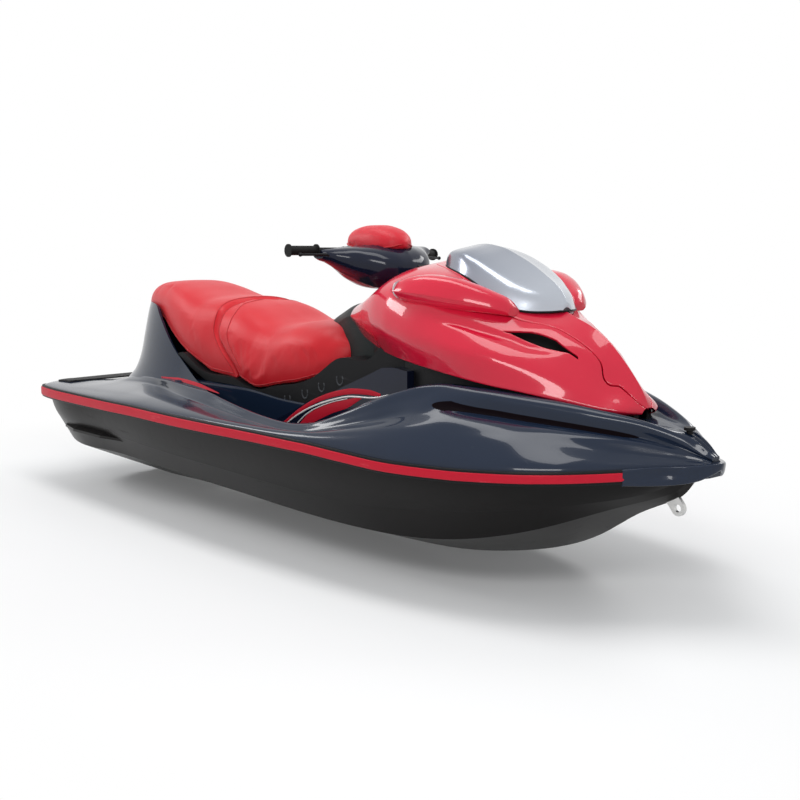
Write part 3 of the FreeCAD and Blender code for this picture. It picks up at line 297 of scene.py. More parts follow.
def makeScuffGroup():
    # Wear: long thin scratches and dull patches as masks, and a slight waviness of the paint as a height
    tree, given, made = newGroup("scuffsAndPeel", {"Scratch scale": 9.0}, ("Scratches", "Patches", "Peel"))
    stretch = addNode(tree, "ShaderNodeMapping", Scale=(0.35, 3.0, 4.0))
    lines = addNode(tree, "ShaderNodeTexNoise", Detail=6.0, Roughness=0.75, Distortion=0.4)
    thin = addNode(tree, "ShaderNodeMapRange", {"interpolation_type": "SMOOTHSTEP"}, From_Min=0.60,
                   From_Max=0.72)
    patches = addNode(tree, "ShaderNodeTexNoise", Scale=3.5, Detail=5.0, Roughness=0.65)
    peel = addNode(tree, "ShaderNodeTexNoise", Scale=160.0, Detail=1.5)
    wire(tree, *[(given["Coordinates"], node.inputs["Vector"]) for node in (stretch, patches, peel)])
    wire(tree, (stretch.outputs["Vector"], lines.inputs["Vector"]),
         (given["Scratch scale"], lines.inputs["Scale"]),
         (lines.outputs["Fac"], thin.inputs["Value"]), (thin.outputs["Result"], made["Scratches"]),
         (patches.outputs["Fac"], made["Patches"]), (peel.outputs["Fac"], made["Peel"]))
    return tree


grainGroup = makeGrainGroup()
scuffGroup = makeScuffGroup()


def newMaterial(name, **values):  # a material with its Principled shader and object coordinates
    material = bpy.data.materials.new(name)
    material.use_nodes = True
    tree = material.node_tree
    shader = tree.nodes["Principled BSDF"]
    for key, value in values.items():
        shader.inputs[key.replace("_", " ")].default_value = value
    return material, tree, shader, tree.nodes.new("ShaderNodeTexCoord").outputs["Object"]


def useGroup(tree, group, coordinates, **values):
    node = addNode(tree, "ShaderNodeGroup", {"node_tree": group}, **values)
    wire(tree, (coordinates, node.inputs["Coordinates"]))
    return node.outputs


def blendColours(tree, mask, first, second):  # a colour that goes from the first to the second over a mask
    mix = addNode(tree, "ShaderNodeMix", {"data_type": "RGBA"})
    mix.inputs["A"].default_value = (*first, 1)
    mix.inputs["B"].default_value = (*second, 1)
    wire(tree, (mask, mix.inputs["Factor"]))
    return mix.outputs["Result"]


def blendValues(tree, mask, first, second):
    reach = addNode(tree, "ShaderNodeMapRange", To_Min=first, To_Max=second)
    wire(tree, (mask, reach.inputs["Value"]))
    return reach.outputs["Result"]


def paintReflectionAhead(tree, coordinates, base, start, end, colour):
    # Painted reflection: the colour gives way to a paler one between two places along the craft, standing in
    # for the bright reflection on the front of the windshield
    parts = tree.nodes.new("ShaderNodeSeparateXYZ")
    share = addNode(tree, "ShaderNodeMapRange", {"interpolation_type": "SMOOTHSTEP"},
                    From_Min=start * halfLength, From_Max=end * halfLength)
    blend = addNode(tree, "ShaderNodeMix", {"data_type": "RGBA"})
    blend.inputs["B"].default_value = (*colour, 1)
    wire(tree, (coordinates, parts.inputs["Vector"]), (parts.outputs["X"], share.inputs["Value"]),
         (share.outputs["Result"], blend.inputs["Factor"]), (base, blend.inputs["A"]))
    return blend.outputs["Result"]


def coverSkin(tree, shader, colour, roughness, height, strength, distance):
    relief = addNode(tree, "ShaderNodeBump", Strength=strength, Distance=distance)
    wire(tree, (colour, shader.inputs["Base Color"]), (roughness, shader.inputs["Roughness"]),
         (height, relief.inputs["Height"]), (relief.outputs["Normal"], shader.inputs["Normal"]))


def glossMaterial(name, colour, worn, rough, roughWorn, peel, coat, metal=0.0, paintedReflection=None):
    # Sprayed or gel coated gloss: colour a little uneven, dull scratches, clear coat over it, and where asked
    # a paler colour towards the bow as a painted reflection
    material, tree, shader, coordinates = newMaterial(name, Coat_Weight=coat, Coat_Roughness=0.035, IOR=1.45,
                                                      Specular_IOR_Level=0.14, Metallic=metal)
    scuffs = useGroup(tree, scuffGroup, coordinates)
    base = blendColours(tree, scuffs["Patches"], colour, worn)
    if paintedReflection:
        base = paintReflectionAhead(tree, coordinates, base, *paintedReflection)
    coverSkin(tree, shader, base, blendValues(tree, scuffs["Scratches"], rough, roughWorn), scuffs["Peel"],
              peel,
              0.0004)
    return material


def mouldedMaterial(name, colour, worn, rough, roughWorn, cells, relief, shine=0.16):
    # Moulded plastic or rubber: pebbled skin, paler where it is rubbed
    material, tree, shader, coordinates = newMaterial(name, IOR=1.46, Specular_IOR_Level=shine)
    grain = useGroup(tree, grainGroup, coordinates, Cells=cells, Waves=0.2)
    scuffs = useGroup(tree, scuffGroup, coordinates, Scratch_scale=14.0)
    coverSkin(tree, shader, blendColours(tree, scuffs["Scratches"], colour, worn),
              blendValues(tree, grain["Variation"], rough, roughWorn), grain["Height"], relief, 0.0006)
    return material


def metalMaterial(name, colour, worn, rough, roughWorn):
    material, tree, shader, coordinates = newMaterial(name, Metallic=1.0)
    scuffs = useGroup(tree, scuffGroup, coordinates, Scratch_scale=30.0)
    coverSkin(tree, shader, blendColours(tree, scuffs["Patches"], colour, worn),
              blendValues(tree, scuffs["Patches"], rough, roughWorn), scuffs["Peel"], 0.25, 0.0004)
    return material


def vinylMaterial(name, colour, shade, rough):
    # Marine seat vinyl: fine leather grain, a soft sheen, and patches where it is rubbed smoother
    material, tree, shader, coordinates = newMaterial(name, Sheen_Weight=0.05, Sheen_Roughness=0.4, IOR=1.45,
                                                      Specular_IOR_Level=0.35)
    grain = useGroup(tree, grainGroup, coordinates, Cells=420.0, Waves=0.35)
    coverSkin(tree, shader, blendColours(tree, grain["Variation"], colour, shade),
              blendValues(tree, grain["Variation"], rough, rough + 0.16), grain["Height"], 0.35, 0.0009)
    return material


glossValues = {  # colour, worn colour, roughness, worn roughness, waviness, coat, metal, fade towards the bow
    "redPaint": ((0.63, 0.010, 0.040), (0.56, 0.007, 0.032), 0.20, 0.30, 0.10, 0.62),
    "deckGloss": ((0.008, 0.015, 0.034), (0.010, 0.019, 0.040), 0.18, 0.30, 0.10, 0.36),
    "kneeGloss": ((0.006, 0.009, 0.022), (0.007, 0.010, 0.026), 0.16, 0.26, 0.08, 0.26),
    "hullGel": ((0.0045, 0.004, 0.004), (0.009, 0.008, 0.008), 0.32, 0.46, 0.16, 0.05),
    # The windshield's paler colour towards the bow is a painted reflection
    "shieldGloss": ((0.20, 0.22, 0.27), (0.22, 0.24, 0.29), 0.20, 0.26, 0.05, 0.5, 0.6,
                    (0.40, 0.66, (0.46, 0.49, 0.54))),
    "mirrorGlass": ((0.60, 0.62, 0.64), (0.56, 0.58, 0.60), 0.04, 0.06, 0.01, 1.0),
    "whiteLine": ((0.78, 0.74, 0.74), (0.70, 0.66, 0.66), 0.25, 0.35, 0.05, 0.6),
}
mouldedValues = {  # colour, worn colour, roughness, worn roughness, cells of grain, relief, specular level
    "blackTrim": ((0.006, 0.006, 0.007), (0.022, 0.022, 0.024), 0.42, 0.58, 900.0, 0.25),
    "railRubber": ((0.006, 0.006, 0.007), (0.020, 0.020, 0.021), 0.36, 0.50, 800.0, 0.18),
    "redInsert": ((0.50, 0.010, 0.028), (0.56, 0.04, 0.06), 0.34, 0.46, 800.0, 0.15),
    "consoleGrain": ((0.013, 0.018, 0.018), (0.034, 0.040, 0.040), 0.40, 0.55, 760.0, 0.35),
    "gripRubber": ((0.007, 0.007, 0.007), (0.020, 0.020, 0.020), 0.55, 0.70, 500.0, 0.5),
    # The hooks are black gills; their grey, paler than the black trim, is a painted highlight
    "hookPaintedHighlight": ((0.050, 0.054, 0.060), (0.11, 0.115, 0.12), 0.30, 0.42, 900.0, 0.15),
    # The channel strip's near-black colour, with almost no reflection, is painted shade
    "channelPaintedShade": ((0.004, 0.002, 0.003), (0.008, 0.005, 0.006), 0.50, 0.62, 700.0, 0.10, 0.02),
    # The vent sheets' near-black colour is painted shade for the inside of the openings
    "ventPaintedShade": ((0.004, 0.004, 0.004), (0.008, 0.008, 0.008), 0.7, 0.8, 600.0, 0.1),
}
vinylValues = {  # colour, shaded colour, roughness
    "padRed": ((0.60, 0.014, 0.030), (0.50, 0.010, 0.022), 0.34),
    "seatVinyl": ((0.62, 0.010, 0.020), (0.52, 0.007, 0.014), 0.34),
    "seatPiping": ((0.44, 0.008, 0.014), (0.36, 0.005, 0.010), 0.40),
}
metalValues = {  # colour, worn colour, roughness, worn roughness
    "steel": ((0.62, 0.62, 0.61), (0.50, 0.50, 0.49), 0.22, 0.36),
    "alloy": ((0.50, 0.51, 0.52), (0.38, 0.39, 0.40), 0.38, 0.55),
    "engineAlloy": ((0.24, 0.24, 0.25), (0.16, 0.16, 0.17), 0.5, 0.65),
}
matValues = {"tiles": 44.0, "joint": 0.09, "grain": 0.25, "relief": 0.6}


def makeMatMaterial(values):
    # Closed cell traction mat: rows of pressed diamonds over a fine foam grain
    material, tree, shader, coordinates = newMaterial("tractionMat", IOR=1.4)
    grain = useGroup(tree, grainGroup, coordinates, Cells=900.0, Waves=0.1)
    turn = addNode(tree, "ShaderNodeMapping", Rotation=(0, 0, math.radians(45)))
    tiles = addNode(tree, "ShaderNodeTexBrick", {"offset": 0.0}, Scale=values["tiles"],
                    Mortar_Size=values["joint"],
                    Mortar_Smooth=0.4, Brick_Width=0.5, Row_Height=0.5)
    height = addNode(tree, "ShaderNodeMath", {"operation": "SUBTRACT"})
    scaled = addNode(tree, "ShaderNodeMath", {"operation": "MULTIPLY"})
    scaled.inputs[1].default_value = values["grain"]
    wire(tree, (coordinates, turn.inputs["Vector"]), (turn.outputs["Vector"], tiles.inputs["Vector"]),
         (grain["Height"], scaled.inputs[0]), (scaled.outputs[0], height.inputs[0]),
         (tiles.outputs["Fac"], height.inputs[1]))
    coverSkin(tree, shader, blendColours(tree, tiles.outputs["Fac"], (0.020, 0.020, 0.021),
                                         (0.008, 0.008, 0.008)),
              blendValues(tree, grain["Variation"], 0.62, 0.8), height.outputs[0], values["relief"], 0.002)
    return material


for maker, table in ((glossMaterial, glossValues), (mouldedMaterial, mouldedValues),
                     (vinylMaterial, vinylValues),
                     (metalMaterial, metalValues)):
    looks.update({name: maker(name, *row) for name, row in table.items()})
looks["tractionMat"] = makeMatMaterial(matValues)
print("materials ready")


# Padded pieces and cords

clothValues = {"frames": 20, "quality": 5}
ropeValues = {"sides": 10, "taper": 0.04, "tip": 0.15}


def readPoints(mesh):
    points = np.empty(len(mesh.vertices) * 3)
    mesh.vertices.foreach_get("co", points)
    return points.reshape(-1, 3)


def bakedCopy(piece):  # the mesh of a piece as its modifiers leave it
    return bpy.data.meshes.new_from_object(piece.evaluated_get(bpy.context.evaluated_depsgraph_get()))


def puffUp(piece, pressure, cap, voxel):
    # An even skin is blown up as cloth for some frames. Each point then goes the way that the cloth took,
    # as far as the cap at most, and one subdivision smooths the result
    remesh = piece.modifiers.new("even skin", "REMESH")
    remesh.mode = "VOXEL"
    remesh.voxel_size = voxel
    even = bakedCopy(piece)
    piece.modifiers.clear()
    piece.data = even
    cloth = piece.modifiers.new("padding", "CLOTH")
    cloth.settings.use_pressure = True
    cloth.settings.uniform_pressure_force = pressure
    cloth.settings.effector_weights.gravity = 0
    cloth.settings.quality = clothValues["quality"]
    for step in range(1, clothValues["frames"] + 1):
        bpy.context.scene.frame_set(step)
    start, end = readPoints(even), readPoints(bakedCopy(piece))
    bpy.context.scene.frame_set(1)
    piece.modifiers.clear()
    length = np.linalg.norm(end - start, axis=1, keepdims=True)
    moved = start + (end - start) * np.minimum(1, cap / np.maximum(length, 1e-9))
    even.vertices.foreach_set("co", moved.ravel())
    even.polygons.foreach_set("use_smooth", np.ones(len(even.polygons), bool))
    even.update()
    rounding = piece.modifiers.new("rounding", "SUBSURF")
    rounding.levels = rounding.render_levels = 1


def laidOn(piece, path):  # the points of a path moved to the nearest places on a piece's skin
    mesh = bakedCopy(piece)
    skin = BVHTree.FromPolygons([v.co for v in mesh.vertices],
                                [list(face.vertices) for face in mesh.polygons])
    return np.array([list(skin.find_nearest(Vector(point))[0]) for point in path])


def rope(path, radius, ends=1.0):
    # A round tube along a path: circles at right angles to it, drawn in at its two ends
    path = softened(np.asarray(path, float), 1.0)
    ahead = unit(np.gradient(path, axis=0))
    side = unit(np.cross(ahead, [0, 0, 1.0]))
    cosine, sine = circle(ropeValues["sides"])
    t = np.linspace(0, 1, len(path))[:, None, None]
    drawn = np.clip(np.minimum(t, 1 - t) / ropeValues["taper"], ropeValues["tip"], 1) ** 0.5
    ring = side[:, None] * cosine[:, None] + np.cross(side, ahead)[:, None] * sine[:, None]
    return path[:, None] + radius * (1 - ends + ends * drawn) * ring


# The deck: one moulding from rail to rail, with a footwell let into each side

deckValues = {
    "flange": 40 * mm,
    "softAlong": 0.006,
    "softAcross": 0.9,
    "endRounding": 9 * mm,
    "endSteps": (0, 0.4, 1.3, 2.8, 5.0),  # millimetres from the stern, where the stations are close together
    "endStart": 8.5 * mm,
    "channelDepth": 30 * mm,
    "channelOpens": (0.485, 0.545),
    "channelDeepens": (0.50, 0.62),
    "channelFades": (0.84, 0.97),
    "channelFade": 0.75,
    "stations": 330,
    "columns": 138,
}
rimShares = [
    (-0.994, 0.765, 0.366), (-0.958, 0.838, 0.371), (-0.848, 0.887, 0.373), (-0.697, 0.916, 0.377),
    (-0.545, 0.940, 0.381), (-0.394, 0.955, 0.385), (-0.242, 0.969, 0.386), (-0.061, 0.977, 0.390),
    (0.121, 0.970, 0.393), (0.242, 0.960, 0.393), (0.364, 0.941, 0.388), (0.485, 0.905, 0.382),
    (0.606, 0.832, 0.384), (0.715, 0.736, 0.391), (0.800, 0.576, 0.396), (0.845, 0.443, 0.399),
    (0.882, 0.331, 0.403), (0.925, 0.210, 0.407), (0.964, 0.105, 0.412), (0.989, 0.044, 0.418),
]
flankShares = [
    (-0.994, 0.735, 0.375), (-0.958, 0.790, 0.380), (-0.848, 0.810, 0.384), (-0.697, 0.800, 0.392),
    (-0.545, 0.810, 0.402), (-0.394, 0.838, 0.409), (-0.242, 0.883, 0.409), (-0.061, 0.930, 0.404),
    (0.121, 0.935, 0.407), (0.242, 0.925, 0.416), (0.364, 0.890, 0.437), (0.485, 0.838, 0.457),
    (0.596, 0.752, 0.467), (0.693, 0.633, 0.468), (0.763, 0.490, 0.460), (0.820, 0.375, 0.450),
    (0.873, 0.250, 0.438), (0.931, 0.130, 0.429), (0.974, 0.050, 0.424), (0.989, 0.040, 0.421),
]
creaseShares = [
    (-0.994, 0.640, 0.380), (-0.900, 0.560, 0.388), (-0.848, 0.517, 0.391), (-0.739, 0.500, 0.406),
    (-0.561, 0.542, 0.420), (-0.302, 0.730, 0.420), (-0.121, 0.800, 0.410), (-0.018, 0.828, 0.402),
    (0.121, 0.858, 0.399), (0.206, 0.853, 0.406), (0.303, 0.828, 0.436), (0.376, 0.797, 0.462),
    (0.449, 0.744, 0.491), (0.502, 0.716, 0.506), (0.559, 0.678, 0.512), (0.624, 0.605, 0.507),
    (0.692, 0.510, 0.497), (0.757, 0.410, 0.487), (0.821, 0.315, 0.476), (0.879, 0.205, 0.463),
    (0.932, 0.107, 0.445), (0.974, 0.044, 0.430), (0.989, 0.036, 0.424),
]
bandShares = [
    (0.483, 0.672, 0.549), (0.539, 0.620, 0.551), (0.604, 0.553, 0.553), (0.674, 0.461, 0.542),
    (0.743, 0.367, 0.529), (0.809, 0.278, 0.516), (0.871, 0.180, 0.501), (0.933, 0.092, 0.468),
    (0.975, 0.040, 0.436), (0.989, 0.032, 0.430),
]
ridgeShares = [
    (-0.994, 0.520, 0.373), (-0.930, 0.430, 0.383), (-0.848, 0.367, 0.391), (-0.739, 0.408, 0.422),
    (-0.636, 0.475, 0.436), (-0.421, 0.620, 0.451), (-0.238, 0.708, 0.453), (-0.125, 0.750, 0.438),
    (-0.004, 0.783, 0.422), (0.121, 0.808, 0.416), (0.194, 0.810, 0.425), (0.242, 0.803, 0.443),
    (0.303, 0.787, 0.475), (0.372, 0.745, 0.516), (0.431, 0.685, 0.551), (0.479, 0.633, 0.572),
    (0.525, 0.575, 0.580), (0.592, 0.508, 0.576), (0.665, 0.418, 0.564), (0.735, 0.330, 0.552),
    (0.799, 0.250, 0.538), (0.866, 0.156, 0.518), (0.936, 0.074, 0.482), (0.977, 0.033, 0.442),
    (0.989, 0.028, 0.436),
]
lipShares = [
    (-0.994, 0.330, 0.370), (-0.848, 0.330, 0.391), (-0.697, 0.365, 0.424), (-0.545, 0.410, 0.443),
    (-0.455, 0.560, 0.448), (-0.400, 0.592, 0.450), (-0.260, 0.682, 0.451), (-0.200, 0.712, 0.446),
    (-0.050, 0.756, 0.426), (0.100, 0.778, 0.413), (0.230, 0.766, 0.436), (0.270, 0.740, 0.454),
    (0.364, 0.660, 0.518), (0.431, 0.610, 0.551), (0.485, 0.570, 0.570), (0.606, 0.430, 0.566),
    (0.715, 0.290, 0.545), (0.800, 0.205, 0.514), (0.845, 0.145, 0.502), (0.882, 0.100, 0.499),
    (0.925, 0.050, 0.491), (0.964, 0.034, 0.466), (0.989, 0.020, 0.436),
]
# place, outer half width and floor, inner half width and floor, half width and height of the wall's top
wellShares = [
    (-0.994, 0.280, 0.368, 0.260, 0.368, 0.240, 0.368), (-0.848, 0.280, 0.391, 0.260, 0.391, 0.240, 0.391),
    (-0.545, 0.360, 0.443, 0.340, 0.443, 0.320, 0.443), (-0.462, 0.532, 0.447, 0.496, 0.447, 0.486, 0.447),
    (-0.455, 0.530, 0.425, 0.500, 0.425, 0.490, 0.448), (-0.440, 0.540, 0.345, 0.499, 0.345, 0.489, 0.449),
    (-0.425, 0.550, 0.305, 0.498, 0.305, 0.488, 0.450), (-0.350, 0.600, 0.300, 0.495, 0.300, 0.485, 0.453),
    (-0.260, 0.660, 0.300, 0.470, 0.300, 0.460, 0.453), (-0.200, 0.700, 0.300, 0.440, 0.300, 0.430, 0.450),
    (-0.050, 0.735, 0.300, 0.440, 0.300, 0.430, 0.436), (0.100, 0.750, 0.300, 0.440, 0.300, 0.430, 0.436),
    (0.230, 0.735, 0.300, 0.440, 0.300, 0.430, 0.462), (0.270, 0.700, 0.420, 0.440, 0.420, 0.430, 0.474),
    (0.280, 0.700, 0.458, 0.440, 0.474, 0.430, 0.480), (0.364, 0.640, 0.524, 0.440, 0.528, 0.420, 0.530),
    (0.485, 0.480, 0.572, 0.400, 0.572, 0.380, 0.572), (0.606, 0.380, 0.567, 0.300, 0.567, 0.280, 0.567),
    (0.800, 0.170, 0.510, 0.130, 0.509, 0.110, 0.508), (0.915, 0.040, 0.490, 0.030, 0.489, 0.020, 0.489),
    (0.989, 0.014, 0.436, 0.010, 0.436, 0.006, 0.436),
]
middleShares = [
    (-0.994, 0.367), (-0.848, 0.390), (-0.697, 0.425), (-0.545, 0.443), (-0.394, 0.453), (-0.242, 0.453),
    (-0.061, 0.436), (0.121, 0.436), (0.242, 0.464), (0.364, 0.530), (0.485, 0.572), (0.606, 0.567),
    (0.715, 0.540), (0.800, 0.508), (0.845, 0.496), (0.882, 0.494), (0.925, 0.488), (0.964, 0.464),
    (0.989, 0.436),
]


def makeDeck(values):
    # Twelve lines from the rail's edge to the centre line. A channel is pressed in between crease and band:
    # its bottom is the middle of the two, moved inwards at right angles to the line that joins them
    x = np.concatenate([cadLow.x + np.array(values["endSteps"]) * mm,
                        np.linspace(cadLow.x + values["endStart"], rimShares[-1][0] * halfLength,
                                    values["stations"])])
    place, soft = x / halfLength, values["softAlong"]
    rim, flank, crease, ridge, lip, band, middle = [namedLines(rows, x, soft)[0] for rows in (
        rimShares, flankShares, creaseShares, ridgeShares, lipShares, bandShares, middleShares)]
    outer, inner, top = namedLines(wellShares, x, soft / 4)
    shown = ramp(place, *values["channelOpens"])[:, None]
    band = band * shown + (crease + (ridge - crease) * 0.55) * (1 - shown)
    depth = values["channelDepth"] * ramp(place, *values["channelDeepens"])
    depth = depth * (1 - values["channelFade"] * ramp(place, *values["channelFades"]))
    bottom = (crease + band) / 2 + inwardFrom(band - crease) * depth[:, None]
    low = rim - [0, 0, values["flange"]]
    grid = across([low, rim, flank, crease, bottom, band, ridge, lip, outer, inner, top, middle],
                  values["columns"], values["softAcross"])
    back = np.clip(1 - (x - cadLow.x) / values["endRounding"], 0, 1)
    drop = values["endRounding"] * (1 - np.sqrt(1 - back**2))
    grid[..., 2] = np.maximum(grid[..., 2] - drop, low[:, 2])
    grid[..., 1] *= 1 - drop / (1.2 * halfBeam)
    return grid


addPiece("deck_surface", [tube(bothSides(makeDeck(deckValues)).swapaxes(0, 1))], "craft", "deckGloss",
         sharp=32, closed=True, replaces=["deck"])
print("deck made")


# A near-black strip in the channel of each side of the deck, drawn to a point at both ends: painted shade,
# standing in for the shade that falls in the channel

shadeStripValues = {
    "start": 0.520,
    "end": 0.868,
    "low": 0.10,
    "high": 0.84,
    "share": 0.80,
    "points": (0.22, 0.75),
    "front": 1 * mm,
    "back": 3 * mm,
}


def makeShadeStrip(values):
    # Between crease and band the strip sags as the channel does: by its depth times 4t(1 - t)
    x = halfLength * spaced(values["start"], values["end"], 160, 0.8)
    crease, band = [namedLines(rows, x, deckValues["softAlong"])[0] for rows in (creaseShares, bandShares)]
    inward = inwardFrom(band - crease)[:, None]
    along = np.linspace(0, 1, len(x))
    rear, front = values["points"]
    width = np.clip(np.minimum(along / rear, (1 - along) / front), 0.02, 1) ** 0.6
    low, high = values["low"], values["high"]
    t = (low + high) / 2 + np.linspace(-0.5, 0.5, 13)[None] * (high - low) * width[:, None]
    depth = deckValues["channelDepth"] * values["share"] * ramp(x / halfLength, *deckValues["channelDeepens"])
    sag = depth[:, None] * 4 * t * (1 - t)
    skin = crease[:, None] + (band - crease)[:, None] * t[..., None] + inward * sag[..., None]
    return pair(np.concatenate([skin - inward * values["front"], (skin + inward * values["back"])[:, ::-1]],
                               axis=1))


# Painted shade: the dark strips lie where the glossy channel is only in shade
addPiece("channel_painted_shade", makeShadeStrip(shadeStripValues), "craft", "channelPaintedShade", sharp=40,
         closed=True)


# Bow bumper: a horn round the bow, with a scoop in each face

bumperShares = [  # way round from the joint at 0 to the bow's tip at 1: place, half width, low and high
    (0.00, 0.882, 0.345, 0.361, 0.405), (0.20, 0.912, 0.268, 0.362, 0.410),
    (0.45, 0.948, 0.178, 0.366, 0.414), (0.70, 0.977, 0.100, 0.376, 0.418),
    (0.88, 0.993, 0.042, 0.392, 0.421), (1.00, 0.999, 0.000, 0.402, 0.4225),
]
bumperValues = {
    "depth": 11 * mm,
    "wall": 26 * mm,
    "slope": 5 * mm,
    "corner": 0.55,
    "scoop": 13 * mm,
    "scoopWay": (0.36, 0.13),
    "scoopHeight": (0.35, 0.45),
    "stations": 120,
    "sides": 64,
}


def makeBumper(values):
    # A rounded block carried round the bow. In each face the scoop is a bell along the way and in height
    count = values["stations"]
    way = np.concatenate([np.linspace(0, 1, count), np.linspace(1, 0, count)[1:]])
    side = np.where(np.arange(len(way)) < count, -1.0, 1.0)
    place, wide, low, high = readTable(bumperShares, way).T
    line = softened(np.stack([place * halfLength, side * wide * halfBeam, 0 * way], -1), 3.0)
    reach, lift = [bent(wave, values["corner"]) for wave in circle(values["sides"])]
    (wayMiddle, wayReach), (heightMiddle, heightReach) = values["scoopWay"], values["scoopHeight"]
    scoop = values["scoop"] * bump(way[:, None] - wayMiddle, wayReach) * bump(lift - heightMiddle,
                                                                              heightReach)
    depth = np.where(reach > 0, values["depth"], values["wall"]) * reach
    depth = depth - values["slope"] * (0.5 - 0.5 * lift)
    rings = line[:, None] + levelOut(line)[:, None] * (depth - scoop * (reach > 0))[..., None]
    rings[..., 2] = keelZ + ((low + high)[:, None] + (high - low)[:, None] * lift) / 2 * wholeHeight
    return [tube(rings)]


addPiece("bumper_surface", makeBumper(bumperValues), "craft", "deckGloss", sharp=45,
         closed=True,
         replaces=["bow_bumper"])
print("bow trim made")


# The hood: one fairing with an opening for the lid on top and an air vent in each side

hoodShares = [
    (0.094, 0.213, 0.697, 0.250, 0.717, 0.213, 0.745, 0.133, 0.760, 0.764),
    (0.158, 0.295, 0.667, 0.353, 0.717, 0.326, 0.760, 0.181, 0.778, 0.782),
    (0.206, 0.350, 0.655, 0.428, 0.722, 0.398, 0.778, 0.217, 0.796, 0.800),
    (0.236, 0.383, 0.648, 0.466, 0.722, 0.432, 0.792, 0.240, 0.826, 0.834),
    (0.267, 0.415, 0.640, 0.502, 0.721, 0.464, 0.802, 0.260, 0.862, 0.880),
    (0.300, 0.446, 0.635, 0.532, 0.717, 0.488, 0.804, 0.278, 0.873, 0.897),
    (0.339, 0.478, 0.630, 0.560, 0.711, 0.510, 0.803, 0.292, 0.876, 0.899),
    (0.424, 0.527, 0.620, 0.585, 0.696, 0.520, 0.793, 0.310, 0.868, 0.888),
    (0.495, 0.535, 0.609, 0.580, 0.683, 0.475, 0.771, 0.288, 0.844, 0.866),
    (0.555, 0.525, 0.599, 0.550, 0.667, 0.410, 0.742, 0.225, 0.806, 0.830),
    (0.605, 0.490, 0.589, 0.490, 0.651, 0.350, 0.713, 0.166, 0.768, 0.794),
    (0.650, 0.430, 0.579, 0.415, 0.632, 0.295, 0.689, 0.130, 0.738, 0.764),
    (0.700, 0.360, 0.566, 0.328, 0.610, 0.228, 0.658, 0.098, 0.705, 0.738),
    (0.745, 0.285, 0.553, 0.245, 0.584, 0.168, 0.621, 0.071, 0.668, 0.700),
    (0.785, 0.215, 0.541, 0.178, 0.558, 0.120, 0.581, 0.049, 0.622, 0.648),
    (0.815, 0.160, 0.535, 0.135, 0.545, 0.092, 0.560, 0.038, 0.582, 0.600),
    (0.834, 0.110, 0.530, 0.098, 0.537, 0.068, 0.546, 0.028, 0.556, 0.562),
    (0.8415, 0.050, 0.527, 0.045, 0.530, 0.032, 0.534, 0.014, 0.537, 0.538),
]
lidShares = [  # place and half width of the lid's outline
    (0.327, 0.130), (0.340, 0.155), (0.388, 0.215), (0.442, 0.270), (0.505, 0.312), (0.550, 0.306),
    (0.590, 0.258), (0.625, 0.192), (0.660, 0.138), (0.700, 0.108), (0.740, 0.092), (0.757, 0.090),
    (0.767, 0.112), (0.779, 0.108), (0.795, 0.072), (0.815, 0.060), (0.832, 0.046), (0.8415, 0.016),
]
ventShares = [  # place, then the heights of the vent's lower and upper edge
    (0.094, 0.735, 0.735), (0.300, 0.770, 0.770), (0.450, 0.757, 0.757), (0.540, 0.742, 0.742),
    (0.592, 0.7250, 0.7250), (0.602, 0.7190, 0.7252), (0.628, 0.7030, 0.7245), (0.650, 0.6910, 0.7185),
    (0.668, 0.6820, 0.7080), (0.690, 0.6745, 0.6890), (0.712, 0.6670, 0.6700), (0.718, 0.6645, 0.6645),
    (0.745, 0.6300, 0.6300), (0.785, 0.5850, 0.5850), (0.815, 0.5600, 0.5600), (0.8415, 0.5325, 0.5325),
]
grooveShares = [
    (0.40, 0.760), (0.46, 0.752), (0.51, 0.744), (0.565, 0.724), (0.615, 0.702), (0.65, 0.684),
    (0.715, 0.668),
]
browShares = [(0.60, 0.734), (0.65, 0.730), (0.68, 0.709), (0.72, 0.677), (0.76, 0.642), (0.80, 0.605)]
hoodValues = {
    "stations": 200,
    "noseStations": 60,
    "nose": 0.785,
    "rows": 520,
    "softRows": 16,
    "lowerColumns": 46,
    "upperColumns": 50,
    "topColumns": 24,
    "lidColumns": 46,
    "lidStart": 0.327,
    "lidRear": 0.3295,
    "gap": 8 * mm,
    "edgeRadius": 4 * mm,
    "edgeDepth": 16 * mm,
    "edgeSteps": 4,
    "frontRadius": 2 * mm,
    "softAlong": 0.009,
    "softLid": 0.004,
    "grooveDepth": 6 * mm,
    "grooveReach": 7 * mm,
    "grooveStarts": (0.44, 0.54),
    "grooveEnds": (0.62, 0.71),
    "browHeight": 6 * mm,
    "browReach": 13 * mm,
    "browStarts": (0.60, 0.65),
    "browEnds": (0.74, 0.79),
    "ventPlaces": (0.585, 0.722),
    "ventLeast": 4,
    "lowLip": (2.5 * mm, 9 * mm),
    "highLip": (2 * mm, 5 * mm),
    "ventDepth": 26 * mm,
    "footDrop": 2 * mm,
}


def crossing(values, target, rising=False):
    # For each station the row, as a fraction, where the values first rise past the target or last fall
    # below it
    count = len(values)
    if rising:
        row = np.argmax(values > target, axis=0) - 1
    else:
        row = count - 1 - np.argmax((values > target)[::-1], axis=0)
    row = np.clip(row, 0, count - 2)
    near = np.take_along_axis(values, row[None], 0)[0]
    far = np.take_along_axis(values, row[None] + 1, 0)[0]
    step = np.where(np.abs(far - near) < 1e-9, 1, far - near)
    return row + np.clip((target - near) / step, 0, 1)


